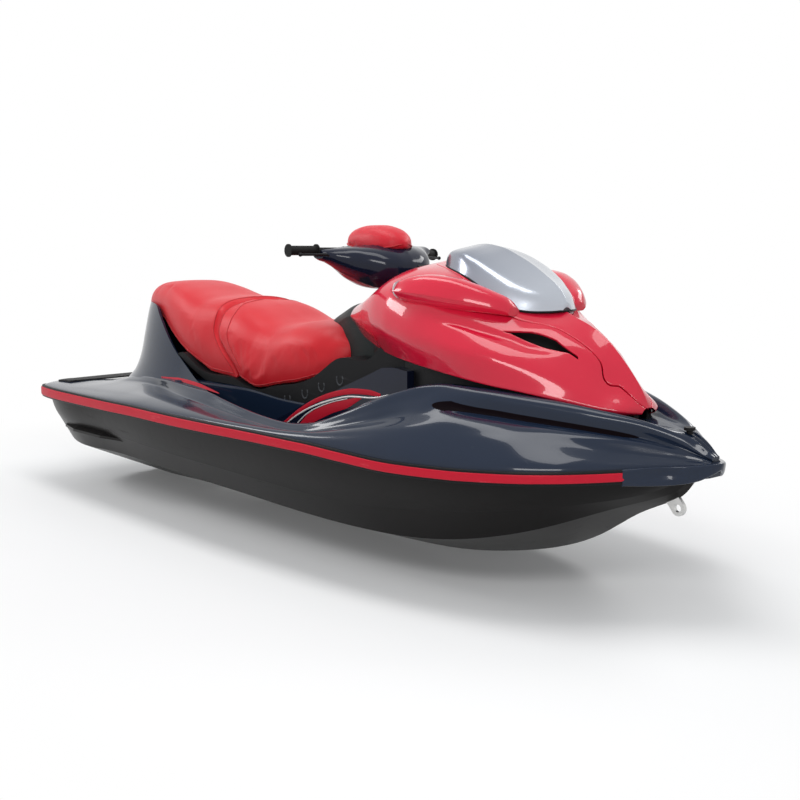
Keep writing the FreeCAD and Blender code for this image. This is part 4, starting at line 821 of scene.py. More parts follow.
def readRows(dense, first, last, count):  # even rows of a dense grid between two fractional rows
    rows = first + np.linspace(0, 1, count)[:, None] * (last - first)
    low = np.clip(rows.astype(int), 0, len(dense) - 2)
    t = (rows - low)[..., None]
    index = np.repeat(low[..., None], 3, axis=-1)
    return np.take_along_axis(dense, index, 0) * (1 - t) + np.take_along_axis(dense, index + 1, 0) * t


def turnedEdge(edge, before, normal, radius, depth):
    # Rows that round off an edge and go down from it: a quarter circle from the surface, then straight in
    angles = np.radians(np.linspace(0, 90, hoodValues["edgeSteps"] + 1)[1:])[:, None, None]
    bend = edge + unit(edge - before) * radius * np.sin(angles) - normal * radius * (1 - np.cos(angles))
    return np.concatenate([bend, (bend[-1] - normal * depth)[None]])


def turnedEnd(grid, last, radius, depth):  # the same at a grid's last column, or at its first
    end, before = (-1, -2) if last else (0, 1)
    edge = turnedEdge(grid[:, end], grid[:, before], gridNormals(grid)[:, end], radius, depth).swapaxes(0, 1)
    parts = [grid[:, -1:], edge] if last else [edge[:, ::-1], grid[:, :1]]
    return sheet(np.concatenate(parts, axis=1))


def makeHoodSurface(values):
    # The dense surface that fairing and lid are both cut from. A groove and a brow are added along its
    # normals, each a bell over the distance in height from its line, faded at both ends
    tip = hoodShares[-1][0]
    nose = values["nose"] + (tip - values["nose"]) * np.sin(np.linspace(0, math.pi / 2,
                                                                        values["noseStations"]))
    x = halfLength * np.concatenate([np.linspace(hoodShares[0][0], values["nose"], values["stations"]),
                                     nose[1:]])
    dense = across(namedLines(hoodShares, x, values["softAlong"]), values["rows"], values["softRows"])
    place = x / halfLength
    height = dense[..., 2] - keelZ
    bells = []
    for rows, key in ((grooveShares, "groove"), (browShares, "brow")):
        distance = height - readTable(rows, place) * wholeHeight
        bell = bump(distance, values[key + "Reach"]) * ramp(place, *values[key + "Starts"])
        bells.append(bell * (1 - ramp(place, *values[key + "Ends"])))
    relief = values["browHeight"] * bells[1] - values["grooveDepth"] * bells[0]
    return x, dense + gridNormals(dense) * relief[..., None]


hoodX, hoodDense = makeHoodSurface(hoodValues)
hoodPlace = hoodX / halfLength
lidOutline = softLine(lidShares, hoodX, hoodValues["softLid"])[:, 0] * halfBeam
hoodMiddle = len(hoodDense) - 1


def makeFairing(values):
    # Rows run from the foot to the vent's line, from there to the lid's outline, and behind the lid to
    # the centre
    edgeRow = crossing(hoodDense[..., 1], lidOutline + values["gap"])
    ventLines = keelZ + softLine(ventShares, hoodX, 0.001).T * wholeHeight
    lowRow, highRow = [crossing(hoodDense[..., 2], line, rising=True) for line in ventLines]
    lowRow = np.clip(lowRow, 0.15 * edgeRow, 0.75 * edgeRow)
    highRow = np.clip(highRow, lowRow, 0.85 * edgeRow)
    start, end = values["ventPlaces"]
    shut = (highRow - lowRow < values["ventLeast"]) | (hoodPlace < start) | (hoodPlace > end)
    highRow = np.where(shut, lowRow, highRow)
    behind = hoodX <= values["lidStart"] * halfLength + 0.5 * values["gap"]
    lower = readRows(hoodDense, 0, lowRow, values["lowerColumns"])
    upper = readRows(hoodDense, highRow, edgeRow, values["upperColumns"])
    top = readRows(hoodDense, edgeRow, hoodMiddle, values["topColumns"])[:, behind]
    radius, depth = values["edgeRadius"], values["edgeDepth"]
    side = ~behind
    side[np.argmax(side) - 1] = True
    lowNormals, highNormals = gridNormals(lower), gridNormals(upper)
    lidEdge = turnedEdge(upper[-1], upper[-2], highNormals[-1], radius, depth)[:, side]
    foot = turnedEdge(lower[0], lower[1], lowNormals[0], radius * 1.5, depth)[::-1] - [0, 0,
                                                                                       values["footDrop"]]
    opened = np.flatnonzero(~shut)
    window = np.arange(opened[0] - 1, opened[-1] + 2)
    lowLip = turnedEdge(lower[-1], lower[-2], lowNormals[-1], *values["lowLip"])[:, window]
    highLip = turnedEdge(upper[0], upper[1], highNormals[0], *values["highLip"])[::-1][:, window]
    grids = [lower, upper, np.concatenate([upper[-1:][:, side], lidEdge]), np.concatenate([foot, lower[:1]]),
             np.concatenate([lower[-1:][:, window], lowLip]), np.concatenate([highLip,
                                                                              upper[:1][:, window]]), top]
    parts = [sheet(grid) for grid in grids] + [turnedEnd(top, True, radius, depth)]
    # Painted shade: a near-black sheet sunk into each vent, standing in for the shade inside the opening
    t = np.linspace(0, 1, 10)[:, None, None]
    sag = -highNormals[0][window] * values["ventDepth"] * np.sin(math.pi * t) ** 0.5
    liner = sheet(lowLip[-1] + (highLip[0] - lowLip[-1]) * t + sag)
    return parts + [mirrored(part) for part in parts], [liner, mirrored(liner)]


fairingShapes, ventShadeSheets = makeFairing(hoodValues)
addPiece("hood_surface", fairingShapes, "craft", "redPaint", sharp=40, replaces=["hood_fairing"])
print("hood made")


def makeLid(values):
    # The part of the hood's surface inside the outline, with its edge turned in all round
    inside = hoodPlace > values["lidRear"]
    row = crossing(hoodDense[..., 1], lidOutline)
    half = readRows(hoodDense, row, hoodMiddle, values["lidColumns"])[:, inside]
    edge = turnedEdge(half[0], half[1], gridNormals(half)[0], values["edgeRadius"], values["edgeDepth"])[::-1]
    side = sheet(np.concatenate([edge, half[:1]]))
    whole = bothSides(half)
    return [sheet(whole), side, mirrored(side), turnedEnd(whole, False, values["edgeRadius"],
                                                          values["edgeDepth"]),
            turnedEnd(whole, True, values["frontRadius"], values["edgeDepth"] * 0.6)]


addPiece("lid_surface", makeLid(hoodValues), "lid", "redPaint", sharp=40, replaces=["front_lid"])
print("lid made")


# The windshield: a closed dome that sits on the lid, with a dark rim round its foot. The rim is partly a
# rubber edge and partly painted shade: a black cord along the shadow line under the shield's edge

shieldShares = [
    (0.3295, 0.030, 0.893, 0.024, 0.896, 0.899), (0.334, 0.070, 0.888, 0.056, 0.901, 0.908),
    (0.350, 0.130, 0.888, 0.112, 0.914, 0.926), (0.380, 0.195, 0.884, 0.162, 0.928, 0.945),
    (0.420, 0.245, 0.876, 0.202, 0.928, 0.951), (0.465, 0.280, 0.862, 0.226, 0.913, 0.943),
    (0.510, 0.295, 0.837, 0.234, 0.886, 0.921), (0.550, 0.285, 0.803, 0.222, 0.855, 0.896),
    (0.585, 0.235, 0.778, 0.180, 0.828, 0.868), (0.612, 0.165, 0.772, 0.124, 0.812, 0.844),
    (0.630, 0.095, 0.772, 0.068, 0.798, 0.820), (0.640, 0.040, 0.774, 0.028, 0.788, 0.798),
]
shieldValues = {
    "stations": 110,
    "columns": 48,
    "softAlong": 0.004,
    "softAcross": 2.5,
    "edgeRadius": 3 * mm,
    "edgeDepth": 14 * mm,
    "rim": 4 * mm,
    "rimSink": 2.5 * mm,
}


def makeShield(values):
    # Base, cheek and crown lines joined into a dome, with its lower edge turned in and carried down
    x = halfLength * spacedOver(shieldShares, values["stations"], 0.9)
    half = across(namedLines(shieldShares, x, values["softAlong"]), values["columns"], values["softAcross"])
    normals = gridNormals(half)[0]
    edge = turnedEdge(half[0], half[1], normals, values["edgeRadius"], values["edgeDepth"])[::-1]
    foot = half[0] - normals * values["rimSink"]
    # The dark rim is partly painted shade, laid along the shadow line under the shield's edge
    rim = rope(np.concatenate([foot, (foot * [1, -1, 1])[::-1]]), values["rim"])
    return tube(bothSides(np.concatenate([edge, half])).swapaxes(0, 1)), tube(rim)


shieldShape, shadeRimShape = makeShield(shieldValues)
addPiece("shield_surface", [shieldShape], "lid", "shieldGloss", sharp=50, closed=True,
         replaces=["windshield"])
addPiece("shield_shade_rim", [shadeRimShape], "lid", "blackTrim", sharp=60, closed=True)
print("windshield made")


# Mirror pods, one each side of the hood

podShares = [
    (0.3485, 0.542, 0.455, 0.819, 0.829), (0.352, 0.560, 0.425, 0.810, 0.840),
    (0.366, 0.573, 0.398, 0.799, 0.852), (0.395, 0.577, 0.368, 0.789, 0.865),
    (0.438, 0.563, 0.343, 0.781, 0.870), (0.480, 0.533, 0.322, 0.775, 0.865),
    (0.520, 0.483, 0.298, 0.772, 0.850), (0.555, 0.418, 0.260, 0.768, 0.829),
    (0.580, 0.355, 0.228, 0.764, 0.808), (0.5905, 0.315, 0.225, 0.762, 0.786),
]
podValues = {"stations": 90, "sides": 72, "softAlong": 0.004, "edge": 0.7, "round": 0.82, "middle": 0.42}


def makePod(values):
    # Each section is an oval whose outer end is drawn to an edge two fifths of the way up
    x = halfLength * spacedOver(podShares, values["stations"], 0.8)
    outer, inner, low, high = softLine(podShares, x, values["softAlong"]).T[..., None]
    cosine, sine = circle(values["sides"])
    lift = bent(sine, 1 + values["edge"] * ramp(cosine, 0.2, 1.0))
    centre = low + values["middle"] * (high - low)
    wide = (outer + inner) / 2 + (outer - inner) / 2 * bent(cosine, values["round"])
    return placed((x / halfLength)[:, None], wide, centre + np.where(lift > 0, high - centre,
                                                                     centre - low) * lift)


addPiece("pod_surfaces", pair(makePod(podValues)), "craft", "redPaint", sharp=48, closed=True,
         replaces=["mirror_pods"])
# The vent sheets are painted shade in the openings
addPiece("vent_painted_shade", ventShadeSheets, "craft", "ventPaintedShade", replaces=["air_vents"])
print("pods and vents made")


# Seats: two padded pieces that meet in a curved seam

seatTopShares = [
    (-0.846, 0.668), (-0.832, 0.712), (-0.792, 0.748), (-0.727, 0.769), (-0.651, 0.775), (-0.578, 0.762),
    (-0.508, 0.740), (-0.462, 0.730), (-0.417, 0.732), (-0.362, 0.730), (-0.298, 0.716), (-0.246, 0.694),
    (-0.195, 0.671), (-0.155, 0.661), (-0.116, 0.669), (-0.060, 0.680), (0.010, 0.680), (0.067, 0.665),
    (0.109, 0.640),
]
seatFootShares = [
    (-0.846, 0.628), (-0.800, 0.632), (-0.730, 0.645), (-0.690, 0.650), (-0.640, 0.632), (-0.595, 0.598),
    (-0.506, 0.539), (-0.438, 0.505), (-0.372, 0.480), (-0.262, 0.474), (-0.191, 0.450), (-0.110, 0.472),
    (-0.042, 0.490), (0.048, 0.531), (0.093, 0.570), (0.109, 0.600),
]
seatWidthShares = [
    (-0.846, 0.030), (-0.830, 0.105), (-0.800, 0.165), (-0.760, 0.222), (-0.720, 0.262), (-0.650, 0.312),
    (-0.600, 0.352), (-0.500, 0.398), (-0.400, 0.410), (-0.300, 0.415), (-0.150, 0.415), (-0.040, 0.400),
    (0.048, 0.350), (0.090, 0.270), (0.109, 0.160),
]
seamShares = [
    (0.0, -0.262), (0.16, -0.288), (0.30, -0.330), (0.45, -0.362), (0.62, -0.368), (0.80, -0.380),
    (1.0, -0.400),
]
sectionShares = [  # way over the section from foot to top, half width and height
    (0.0, 0.985, 0.0), (0.22, 1.02, 0.28), (0.45, 0.98, 0.60), (0.66, 0.80, 0.88), (0.85, 0.42, 0.985),
    (1.0, 0.0, 1.0),
]
seatValues = {
    "stations": 110,
    "columns": 60,
    "underColumns": 12,
    "hollow": 12 * mm,
    "gap": 3 * mm,
    "endRounding": 26 * mm,
    "fill": 0.85,
    "pressure": 4.0,
    "cap": 9 * mm,
    "voxel": 9 * mm,
    "piping": 2.24 * mm,
}
seatWay = np.linspace(0, 1, seatValues["columns"])


def seatRings(start, end, values):
    # Rings along the seat: the skin from foot to foot over the top, and a raised bottom below it. Start and
    # end are places that change over the section, so a seam can curve
    t = spaced(0, 1, values["stations"], 0.7)[:, None]
    place = start * (1 - t) + end * t
    top, foot, wide = [readTable(rows, place) for rows in (seatTopShares, seatFootShares, seatWidthShares)]
    width, height = readTable(sectionShares, seatWay).T
    half = softened(softened(placed(place, wide * width, foot + (top - foot) * height), 1.5, 0), 1.5, 1)
    over = np.concatenate([half, (half[:, :-1] * [1, -1, 1])[:, ::-1]], axis=1)
    t = np.linspace(0, 1, values["underColumns"] + 2)[1:-1][None, :, None]
    under = over[:, -1:] * (1 - t) + over[:, :1] * t + np.array([0, 0,
                                                                 values["hollow"]]) * np.sin(math.pi * t)
    return np.concatenate([over, under], axis=1)


def roundedEnd(rings, distance, radius):
    # Draws the rings in towards their middle near an end, in a quarter circle over the distance from it
    share = np.clip(1 - distance / radius, 0, 1)
    inset = radius * (1 - np.sqrt(1 - share**2))
    middle = rings.mean(axis=1, keepdims=True)
    away = rings - middle
    length = np.linalg.norm(away, axis=2, keepdims=True)
    return middle + away * np.maximum(length - inset[..., None], 0.15 * length) / np.maximum(length, 1e-6)


def makeSeat(name, start, end, node, values):
    rings = seatRings(start, end, values)
    x = rings[..., 0]
    for finish in (x[:1], x[-1:]):
        rings = roundedEnd(rings, np.abs(x - finish), values["endRounding"])
    piece = addPiece(name, [tube(rings)], "craft", "seatVinyl", sharp=60, closed=True,
                     replaces=[node])
    puffUp(piece, values["pressure"], values["cap"], values["voxel"])
    return piece, rings


seam = readTable(seamShares, seatWay)
seamGap = seatValues["gap"] / (2 * halfLength)
frontSeat, frontRings = makeSeat("seat_front_cover", seam + seamGap, seatTopShares[-1][0], "seat_front",
                                 seatValues)
rearSeat, rearRings = makeSeat("seat_rear_cover", seatTopShares[0][0], seam - seamGap, "seat_rear",
                               seatValues)


def makePiping(values):
    # Sewn cords: along both lower edges of each seat, over both sides of their joint, and two more across
    # the front seat, a little ahead of the joint and at its front end
    top = 2 * values["columns"] - 1
    paths = [
        (frontSeat, frontRings[4:-8, 3]), (frontSeat, frontRings[4:-8, top - 4]),
        (rearSeat, rearRings[10:-4, 3]), (rearSeat, rearRings[10:-4, top - 4]),
        (frontSeat, frontRings[5, 2:top - 2]), (rearSeat, rearRings[-6, 2:top - 2]),
        (frontSeat, frontRings[20, 8:top - 8]), (frontSeat, frontRings[-6, 4:top - 4]),
    ]
    return [tube(rope(laidOn(seat, path), values["piping"])) for seat, path in paths]


addPiece("seat_piping", makePiping(seatValues), "craft", "seatPiping", sharp=60, closed=True)
print("seats made")


# Tail surround: a wall that runs round the back of the seat and flares into the deck

tailEdgeShares = [
    (-0.900, 0.640), (-0.820, 0.672), (-0.750, 0.700), (-0.690, 0.698), (-0.640, 0.655), (-0.580, 0.592),
    (-0.520, 0.535), (-0.460, 0.492), (-0.400, 0.458), (-0.330, 0.430), (-0.262, 0.405),
]
tailLevelShares = [  # height, rear place, and half width at the middle and at the front
    (0.360, -0.905, 0.600, 0.590), (0.385, -0.893, 0.565, 0.566), (0.410, -0.878, 0.532, 0.546),
    (0.440, -0.858, 0.492, 0.520), (0.500, -0.842, 0.444, 0.482), (0.580, -0.832, 0.408, 0.460),
    (0.660, -0.820, 0.376, 0.444), (0.720, -0.806, 0.350, 0.433),
]
tailValues = {
    "middle": -0.500,
    "front": -0.262,
    "power": 2.3,
    "straight": 0.30,
    "foot": 0.362,
    "wall": 12 * mm,
    "inside": (-0.006, -0.10),
}


def tailPoint(turn, height, inset=0.0):
    # Plan outline at a height: from the front straight to the middle, then a rounded end of the given power.
    # Turn goes from 0 at the front to 1 at the rear's centre
    rear, wide, front = np.moveaxis(readTable(tailLevelShares, height), -1, 0)
    middle, start, power, bend = [tailValues[key] for key in ("middle", "front", "power", "straight")]
    straight = np.clip(turn / bend, 0, 1)
    angle = np.clip((turn - bend) / (1 - bend), 0, 1) * math.pi / 2
    place = start + (middle - start) * straight - (middle - rear) * np.sin(angle) ** (2 / power)
    y = np.where(turn < bend, front + (wide - front) * ramp(straight, 0, 1),
                 wide * np.cos(angle) ** (2 / power))
    points = placed(place, y, height)
    points[..., 0] += inset * np.sin(angle)
    points[..., 1] -= inset * (y > 0.02)
    return points


def makeTail(values):
    # Columns follow the outline and rows go from the deck up to the edge, whose height comes from the place
    bend = values["straight"]
    turn = np.concatenate([np.linspace(0, bend, 40)[:-1], np.linspace(bend, 1, 110)])
    edge = np.full_like(turn, 0.6)
    for step in range(6):
        edge = readTable(tailEdgeShares, tailPoint(turn, edge)[..., 0] / halfLength)
    edge = softened(edge, 2.0)
    outside = values["foot"] + (edge - values["foot"]) * np.linspace(0, 1, 60)[:, None]
    inside = edge + np.linspace(*values["inside"], 14)[:, None]
    return sheet(np.concatenate([tailPoint(np.broadcast_to(turn, outside.shape), outside),
                                 tailPoint(np.broadcast_to(turn, inside.shape), inside, values["wall"])]))


tailShape = makeTail(tailValues)
addPiece("tail_surface", [tailShape, mirrored(tailShape)], "craft", "deckGloss", sharp=40,
         replaces=["tail_surround"])
print("tail surround made")


# Steering: a smooth cover over the bars with a padded cushion on top

# half width, rear, front, low and high of the section there, and the place of its highest point
coverShares = [
    (0.000, 0.004, 0.202, 0.797, 0.943, 0.100), (0.080, 0.006, 0.200, 0.801, 0.941, 0.100),
    (0.165, 0.012, 0.186, 0.820, 0.937, 0.095), (0.240, 0.024, 0.156, 0.846, 0.934, 0.085),
    (0.310, 0.036, 0.118, 0.869, 0.931, 0.072), (0.370, 0.041, 0.096, 0.885, 0.929, 0.068),
    (0.410, 0.044, 0.088, 0.892, 0.928, 0.066), (0.432, 0.048, 0.084, 0.898, 0.925, 0.066),
]
padShares = [  # place, half width, height of the edge and of the crown
    (-0.004, 0.020, 0.946, 0.952), (0.004, 0.066, 0.940, 0.970), (0.030, 0.106, 0.935, 0.990),
    (0.065, 0.124, 0.931, 0.999), (0.100, 0.126, 0.928, 1.000), (0.135, 0.116, 0.930, 0.992),
    (0.158, 0.090, 0.934, 0.978), (0.170, 0.052, 0.939, 0.962), (0.176, 0.014, 0.944, 0.950),
]
steeringValues = {
    "sections": 120,
    "sides": 72,
    "creaseDepth": 3.5 * mm,
    "creaseReach": 5 * mm,
    "creaseWide": 0.30,
    "padSections": 60,
    "padSides": 64,
    "padSag": 0.012,
    "pressure": 3.0,
    "cap": 4 * mm,
    "voxel": 4 * mm,
    "fill": 0.8,
    "piping": 3 * mm,
}


def makeCover(values):
    # Ovals stacked along the bars. Each is flatter below than above, and a crease runs round them
    # from behind the pad down to the front, where its angle grows with the distance from the middle
    y = spaced(-coverShares[-1][0], coverShares[-1][0], values["sections"], 0.9)[:, None]
    rear, front, low, high, peak = np.moveaxis(readTable(coverShares, np.abs(y)), -1, 0)
    cosine, sine = circle(values["sides"])
    x = (rear + front) / 2 + (front - rear) / 2 * bent(cosine, 0.85)
    x = x + (peak - (rear + front) / 2) * np.clip(sine, 0, 1) * 0.5
    middle = low + 0.45 * (high - low)
    grid = placed(x, y, middle + np.where(sine > 0, high - middle, middle - low) * bent(sine, 0.9))
    side = np.abs(y) / values["creaseWide"]
    cut = bump((x - 0.052 - 0.125 * (1 - side)) * halfLength, values["creaseReach"]) * ramp(1 - side, 0, 0.2)
    return [tube(grid + gridNormals(grid) * (values["creaseDepth"] * cut)[..., None])]


def makePad(values):
    # Half widths along the pad give its outline. Over it the crown rises from the edge as a flat topped arch,
    # and below it the bottom sags by a few millimetres
    place = spacedOver(padShares, values["padSections"], 0.9)[:, None]
    wide, edge, crown = np.moveaxis(readTable(padShares, place), -1, 0)
    cosine, sine = circle(values["padSides"])
    rise = np.where(sine > 0, (crown - edge) * np.abs(sine) ** 0.75, -values["padSag"] * np.abs(sine))
    return placed(place, wide * bent(cosine, 0.8), edge + rise)


addPiece("bar_cover_surface", makeCover(steeringValues), "steering", "kneeGloss", sharp=40,
         closed=True, replaces=["bar_cover"])
padRings = makePad(steeringValues)
barPad = addPiece("bar_pad_cushion", [tube(padRings)], "steering", "padRed", sharp=60, closed=True,
                  replaces=["bar_pad"])
puffUp(barPad, steeringValues["pressure"], steeringValues["cap"], steeringValues["voxel"])
padSeam = np.concatenate([padRings[3:-3, 0], padRings[3:-3, steeringValues["padSides"] // 2][::-1],
                          padRings[3:4, 0]])
addPiece("bar_pad_piping", [tube(rope(padSeam, steeringValues["piping"], ends=0.0))], "steering",
         "seatPiping",
         sharp=60, closed=True)
print("steering made")


# Trim on the sides below the seat: painted bands, a bright line and five hooked vents

kneeBandShares = [  # place, low and high of each band on the knee panel
    [(-0.034, 0.365, 0.374), (0.024, 0.411, 0.426), (0.084, 0.453, 0.468), (0.153, 0.484, 0.501),
     (0.214, 0.501, 0.518), (0.263, 0.505, 0.521), (0.299, 0.505, 0.515)],
    [(0.020, 0.366, 0.372), (0.054, 0.378, 0.412), (0.095, 0.403, 0.441), (0.142, 0.431, 0.464),
     (0.192, 0.455, 0.482), (0.219, 0.475, 0.491), (0.238, 0.490, 0.497)],
]
lineShares = [
    [(-0.032, 0.361, 0.365), (0.018, 0.402, 0.408), (0.072, 0.437, 0.443), (0.136, 0.467, 0.473),
     (0.203, 0.489, 0.494), (0.273, 0.496, 0.501), (0.325, 0.513, 0.517)],
    [(0.012, 0.370, 0.374), (0.048, 0.408, 0.413), (0.090, 0.438, 0.442), (0.140, 0.463, 0.466),
     (0.192, 0.482, 0.485)],
]
hookShares = [(-0.107, 0.425), (-0.056, 0.441), (0.009, 0.470), (0.069, 0.501), (0.133, 0.531)]
tailBandShares = [  # turn round the tail, low and high of each band
    [(0.02, 0.428, 0.431), (0.08, 0.432, 0.440), (0.16, 0.437, 0.449), (0.26, 0.441, 0.452),
     (0.36, 0.443, 0.445)],
    [(0.03, 0.412, 0.414), (0.10, 0.417, 0.425), (0.18, 0.422, 0.431), (0.26, 0.426, 0.430),
     (0.30, 0.428, 0.429)],
]
trimValues = {
    "kneeSide": 300 * mm,
    "lift": 1.2 * mm,
    "sink": 2 * mm,
    "tailLift": 1.5 * mm,
    "vent": 17 * mm,
    "ventBar": 4 * mm,
    "ventSide": 253 * mm,
}


def bandBetween(rows, count, t):  # even places along a band, and the heights from its low to its high line
    along = np.linspace(rows[0][0], rows[-1][0], count)
    low, high = readTable(rows, along).T[..., None]
    return along, low * (1 - t) + high * t


def kneeBand(rows, lift, values):
    # A thin strip on an upright side: between a low and a high line, swollen in the middle by the lift
    t = np.linspace(0, 1, 9)
    place, height = bandBetween(rows, 90, t)
    front = placed(place[:, None], 0, height)
    back = front[:, ::-1] - [0, values["kneeSide"] - values["sink"], 0]
    front[..., 1] -= values["kneeSide"] + lift * (0.3 + 0.7 * (4 * t * (1 - t)) ** 0.5)
    return np.concatenate([front, back], axis=1)


def tailBand(rows, values):
    # A strip that lies on the tail's flank, lifted off it by a little along its normals
    turn, height = bandBetween(rows, 100, np.linspace(0, 1, 7))
    skin = tailPoint(np.broadcast_to(turn, height.T.shape), height.T)
    normals = gridNormals(skin)
    normals = normals * np.sign(normals[..., 1:2] + 1e-9)
    rings = [skin + normals * values["tailLift"], (skin - normals * values["sink"])[::-1]]
    return np.concatenate(rings).swapaxes(0, 1)


def makeHook(place, height, values):  # a bar bent round seven tenths of an oval
    turn = np.radians(np.linspace(150, 400, 40))
    centre = placed(place, 0, height)
    oval = np.stack([values["vent"] * np.cos(turn), 0 * turn, 1.25 * values["vent"] * np.sin(turn)], -1)
    return rope(centre + oval - [0, values["ventSide"], 0], values["ventBar"])


def addTrim(name, rings, look, sharp):  # each strip or bar on both sides
    addPiece(name, [shape for ring in rings for shape in pair(ring)], "craft", look, sharp=sharp,
             closed=True)


lift = trimValues["lift"]
addTrim("knee_bands", [kneeBand(rows, lift, trimValues) for rows in kneeBandShares], "redInsert",
        40)
addTrim("knee_lines", [kneeBand(rows, 2 * lift, trimValues) for rows in lineShares], "whiteLine",
        40)
# The hooks' grey colour is a painted highlight on black gills
addTrim("side_hooks", [makeHook(*row, trimValues) for row in hookShares], "hookPaintedHighlight", 50)
addTrim("tail_bands", [tailBand(rows, trimValues) for rows in tailBandShares], "redInsert", 40)
print("trim made")


# Rails: a rubber moulding round the deck's edge with a red strip let into it

railTallShares = [(-0.994, 0.046, 0.032), (-0.5, 0.044, 0.031), (0.2, 0.040, 0.026), (0.884, 0.036, 0.022)]
railValues = {
    "depth": 10 * mm,
    "strip": 4 * mm,
    "inside": 3 * mm,
    "sink": 20 * mm,
    "softAlong": 0.006,
    "stations": 260,
    "sides": 30,
}


def makeRail(first, last, column, corner, values):
    # A profile along the deck's edge: from first to last outwards, rounded at the corners, with heights that
    # fall towards the bow
    x = halfLength * spacedOver(railTallShares, values["stations"], 0.5)
    rim, = namedLines(rimShares, x, values["softAlong"])
    tall = readTable(railTallShares, x / halfLength)[:, column] * wholeHeight
    cosine, sine = circle(values["sides"])
    reach = (first + last) / 2 + (last - first) / 2 * bent(cosine, corner)
    rings = rim[:, None] - levelOut(rim)[:, None] * reach[None, :, None]
    rings[..., 2] += bent(sine, corner) / 2 * tall[:, None] - values["sink"]
    return pair(rings)


inside, depth, strip = railValues["inside"], railValues["depth"], railValues["strip"]
addPiece("rail_moulding", makeRail(-inside, depth, 0, 0.5, railValues), "craft", "railRubber",
         sharp=50, closed=True, replaces=["rub_rails"])
addPiece("rail_strip", makeRail(depth - inside, depth + strip, 1, 0.6, railValues), "craft", "redInsert",
         sharp=50, closed=True, replaces=["rail_inserts"])
print("rails made")


# Materials of the CAD pieces that stay as they are

cadLooks = {
    "hullGel": ("hull", "sponsons", "ride_plate"),
    "tractionMat": ("footwell_mats", "rear_mat"),
    "blackTrim": ("seat_base", "hood_plinth", "lid_hinge", "storage_bin", "steering_column", "drain_plugs",
                  "gauge_panel", "bow_cleat", "control_levers", "handlebar"),
    "kneeGloss": ("knee_panels",),
    "consoleGrain": ("console",),
    "gripRubber": ("grips",),
    "mirrorGlass": ("mirror_glasses",),
    "steel": ("bow_eye", "stern_eyes", "intake_grate"),
    "alloy": ("pump_housing", "pump_stator", "pump_outlet", "impeller", "steering_nozzle", "reverse_bucket"),
    "engineAlloy": ("engine_block",),
}
for look, names in cadLooks.items():
    for slot in [slot for name in names for slot in nodes[name].material_slots]:
        slot.material = looks[look]


# Floor, light and camera

stageValues = {
    "floorHalf": 30.0,
    "floorColour": (0.90, 0.90, 0.90, 1),
    "reach": (2.6, 1.7),
    "whiteNear": 0.10,
    "whiteFrom": 0.55,
    "whiteAt": 1.25,
    "skyColour": (0.95, 0.975, 1.0, 1),
    "skyStrength": 0.50,
}
lampValues = {  # place, target, size, power
    "overhead": ((0.0, -0.5, 3.4), (0.0, 0.0, 0.2), (3.6, 1.0), 58.0),
    "key": ((3.0, -3.2, 2.4), (0.3, 0.0, 0.4), (1.8, 0.9), 56.0),
    "rear": ((-3.2, -2.0, 2.4), (-0.6, 0.0, 0.3), (1.4, 0.8), 34.0),
    "far": ((1.0, 3.2, 2.8), (0.2, 0.0, 0.4), (2.4, 0.8), 44.0),
}
cameraValues = {
    "azimuth": math.radians(48.1),
    "elevation": math.radians(8.5),
    "distance": 5.0,
    "lens": 57.6,
    "sensor": 36.0,
    "target": (0.057, 0.18, 0.233),
}


def seenDirectly(tree):
    # 1 for the rays of the camera, of reflections and of clear glass, and 0 for those that carry light
    rays = tree.nodes.new("ShaderNodeLightPath").outputs
    first = addNode(tree, "ShaderNodeMath", {"operation": "MAXIMUM"})
    both = addNode(tree, "ShaderNodeMath", {"operation": "MAXIMUM"})
    wire(tree, (rays["Is Camera Ray"], first.inputs[0]), (rays["Is Glossy Ray"], first.inputs[1]),
         (first.outputs[0], both.inputs[0]), (rays["Is Transmission Ray"], both.inputs[1]))
    return both.outputs[0]


def mixShaders(tree, share, first, second, output):
    mix = tree.nodes.new("ShaderNodeMixShader")
    wire(tree, (share, mix.inputs[0]), (first.outputs[0], mix.inputs[1]), (second.outputs[0], mix.inputs[2]),
         (mix.outputs[0], tree.nodes[output].inputs["Surface"]))


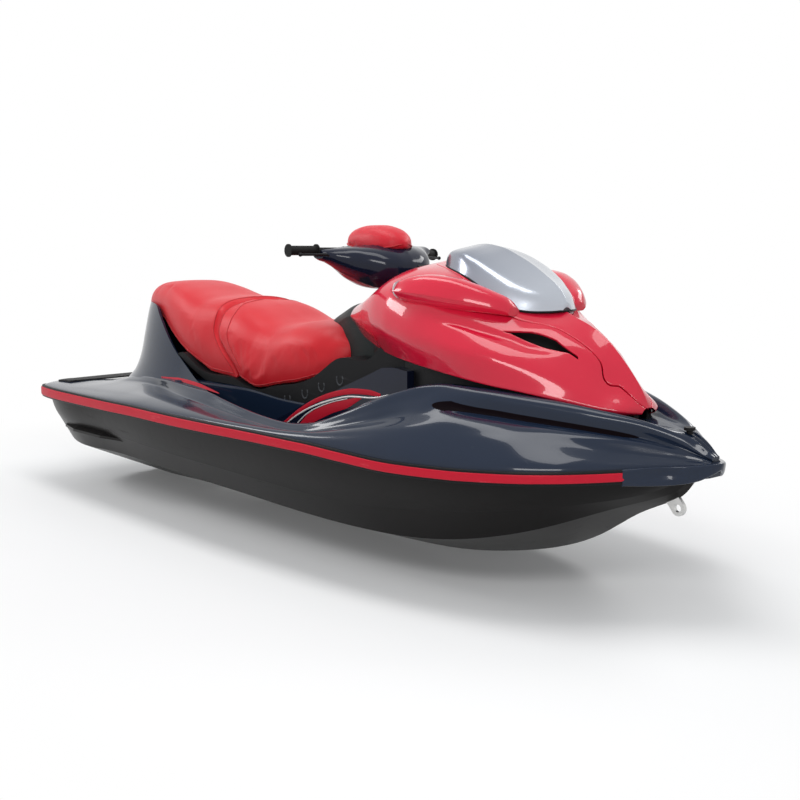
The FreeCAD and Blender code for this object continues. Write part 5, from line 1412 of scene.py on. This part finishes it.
def makeFloor(values):
    # A plain plate whose look goes to white with the distance from the craft, where it keeps the shadow
    mesh = bpy.data.meshes.new("floor")
    half = values["floorHalf"]
    corners = [(-half, -half), (half, -half), (half, half), (-half, half)]
    mesh.from_pydata([(x, y, cadLow.z) for x, y in corners], [], [(0, 1, 2, 3)])
    plate = bpy.data.objects.new("floor", mesh)
    bpy.context.scene.collection.objects.link(plate)
    paint, tree, shader, spots = newMaterial("floorPaint", Roughness=0.9, Specular_IOR_Level=0.0,
                                             Base_Color=values["floorColour"])
    scaled = addNode(tree, "ShaderNodeMapping", Scale=(1 / values["reach"][0], 1 / values["reach"][1], 0))
    distance = addNode(tree, "ShaderNodeVectorMath", {"operation": "LENGTH"})
    rise = addNode(tree, "ShaderNodeMapRange", {"interpolation_type": "SMOOTHSTEP"},
                   From_Min=values["whiteFrom"],
                   From_Max=values["whiteAt"], To_Min=values["whiteNear"], To_Max=1.0)
    seen = addNode(tree, "ShaderNodeMath", {"operation": "MULTIPLY"})
    wire(tree, (spots, scaled.inputs["Vector"]), (scaled.outputs["Vector"], distance.inputs[0]),
         (distance.outputs["Value"], rise.inputs["Value"]), (rise.outputs["Result"], seen.inputs[0]),
         (seenDirectly(tree), seen.inputs[1]))
    mixShaders(tree, seen.outputs[0], shader, addNode(tree, "ShaderNodeEmission", Strength=1.0),
               "Material Output")
    mesh.materials.append(paint)


def makeWorld(values):  # a pale sky that lights the craft, and plain white where it is looked at
    world = bpy.data.worlds.new("studio")
    bpy.context.scene.world = world
    world.use_nodes = True
    tree = world.node_tree
    sky = tree.nodes["Background"]
    sky.inputs["Color"].default_value = values["skyColour"]
    sky.inputs["Strength"].default_value = values["skyStrength"]
    white = addNode(tree, "ShaderNodeBackground", Color=(1, 1, 1, 1), Strength=1.0)
    mixShaders(tree, seenDirectly(tree), sky, white, "World Output")


def hang(name, data, place, ahead):  # a lamp or camera at a place, looking along a direction
    holder = bpy.data.objects.new(name, data)
    bpy.context.scene.collection.objects.link(holder)
    holder.location = place
    holder.rotation_euler = ahead.to_track_quat("-Z", "Y").to_euler()
    return holder


makeFloor(stageValues)
makeWorld(stageValues)
for name, (place, target, size, power) in lampValues.items():
    lamp = bpy.data.lights.new(name, "AREA")
    lamp.shape = "RECTANGLE"
    lamp.size, lamp.size_y = size
    lamp.energy = power
    hang(name, lamp, place, Vector(target) - Vector(place))

lens = bpy.data.cameras.new("camera")
lens.lens = cameraValues["lens"]
lens.sensor_width = cameraValues["sensor"]
azimuth, elevation = cameraValues["azimuth"], cameraValues["elevation"]
back = Vector((math.sin(azimuth) * math.cos(elevation), -math.cos(azimuth) * math.cos(elevation),
               math.sin(elevation)))
place = Vector(cameraValues["target"]) + back * cameraValues["distance"]
bpy.context.scene.camera = hang("camera", lens, place, -back)
bpy.context.scene.view_settings.view_transform = "Standard"
print("stage ready")
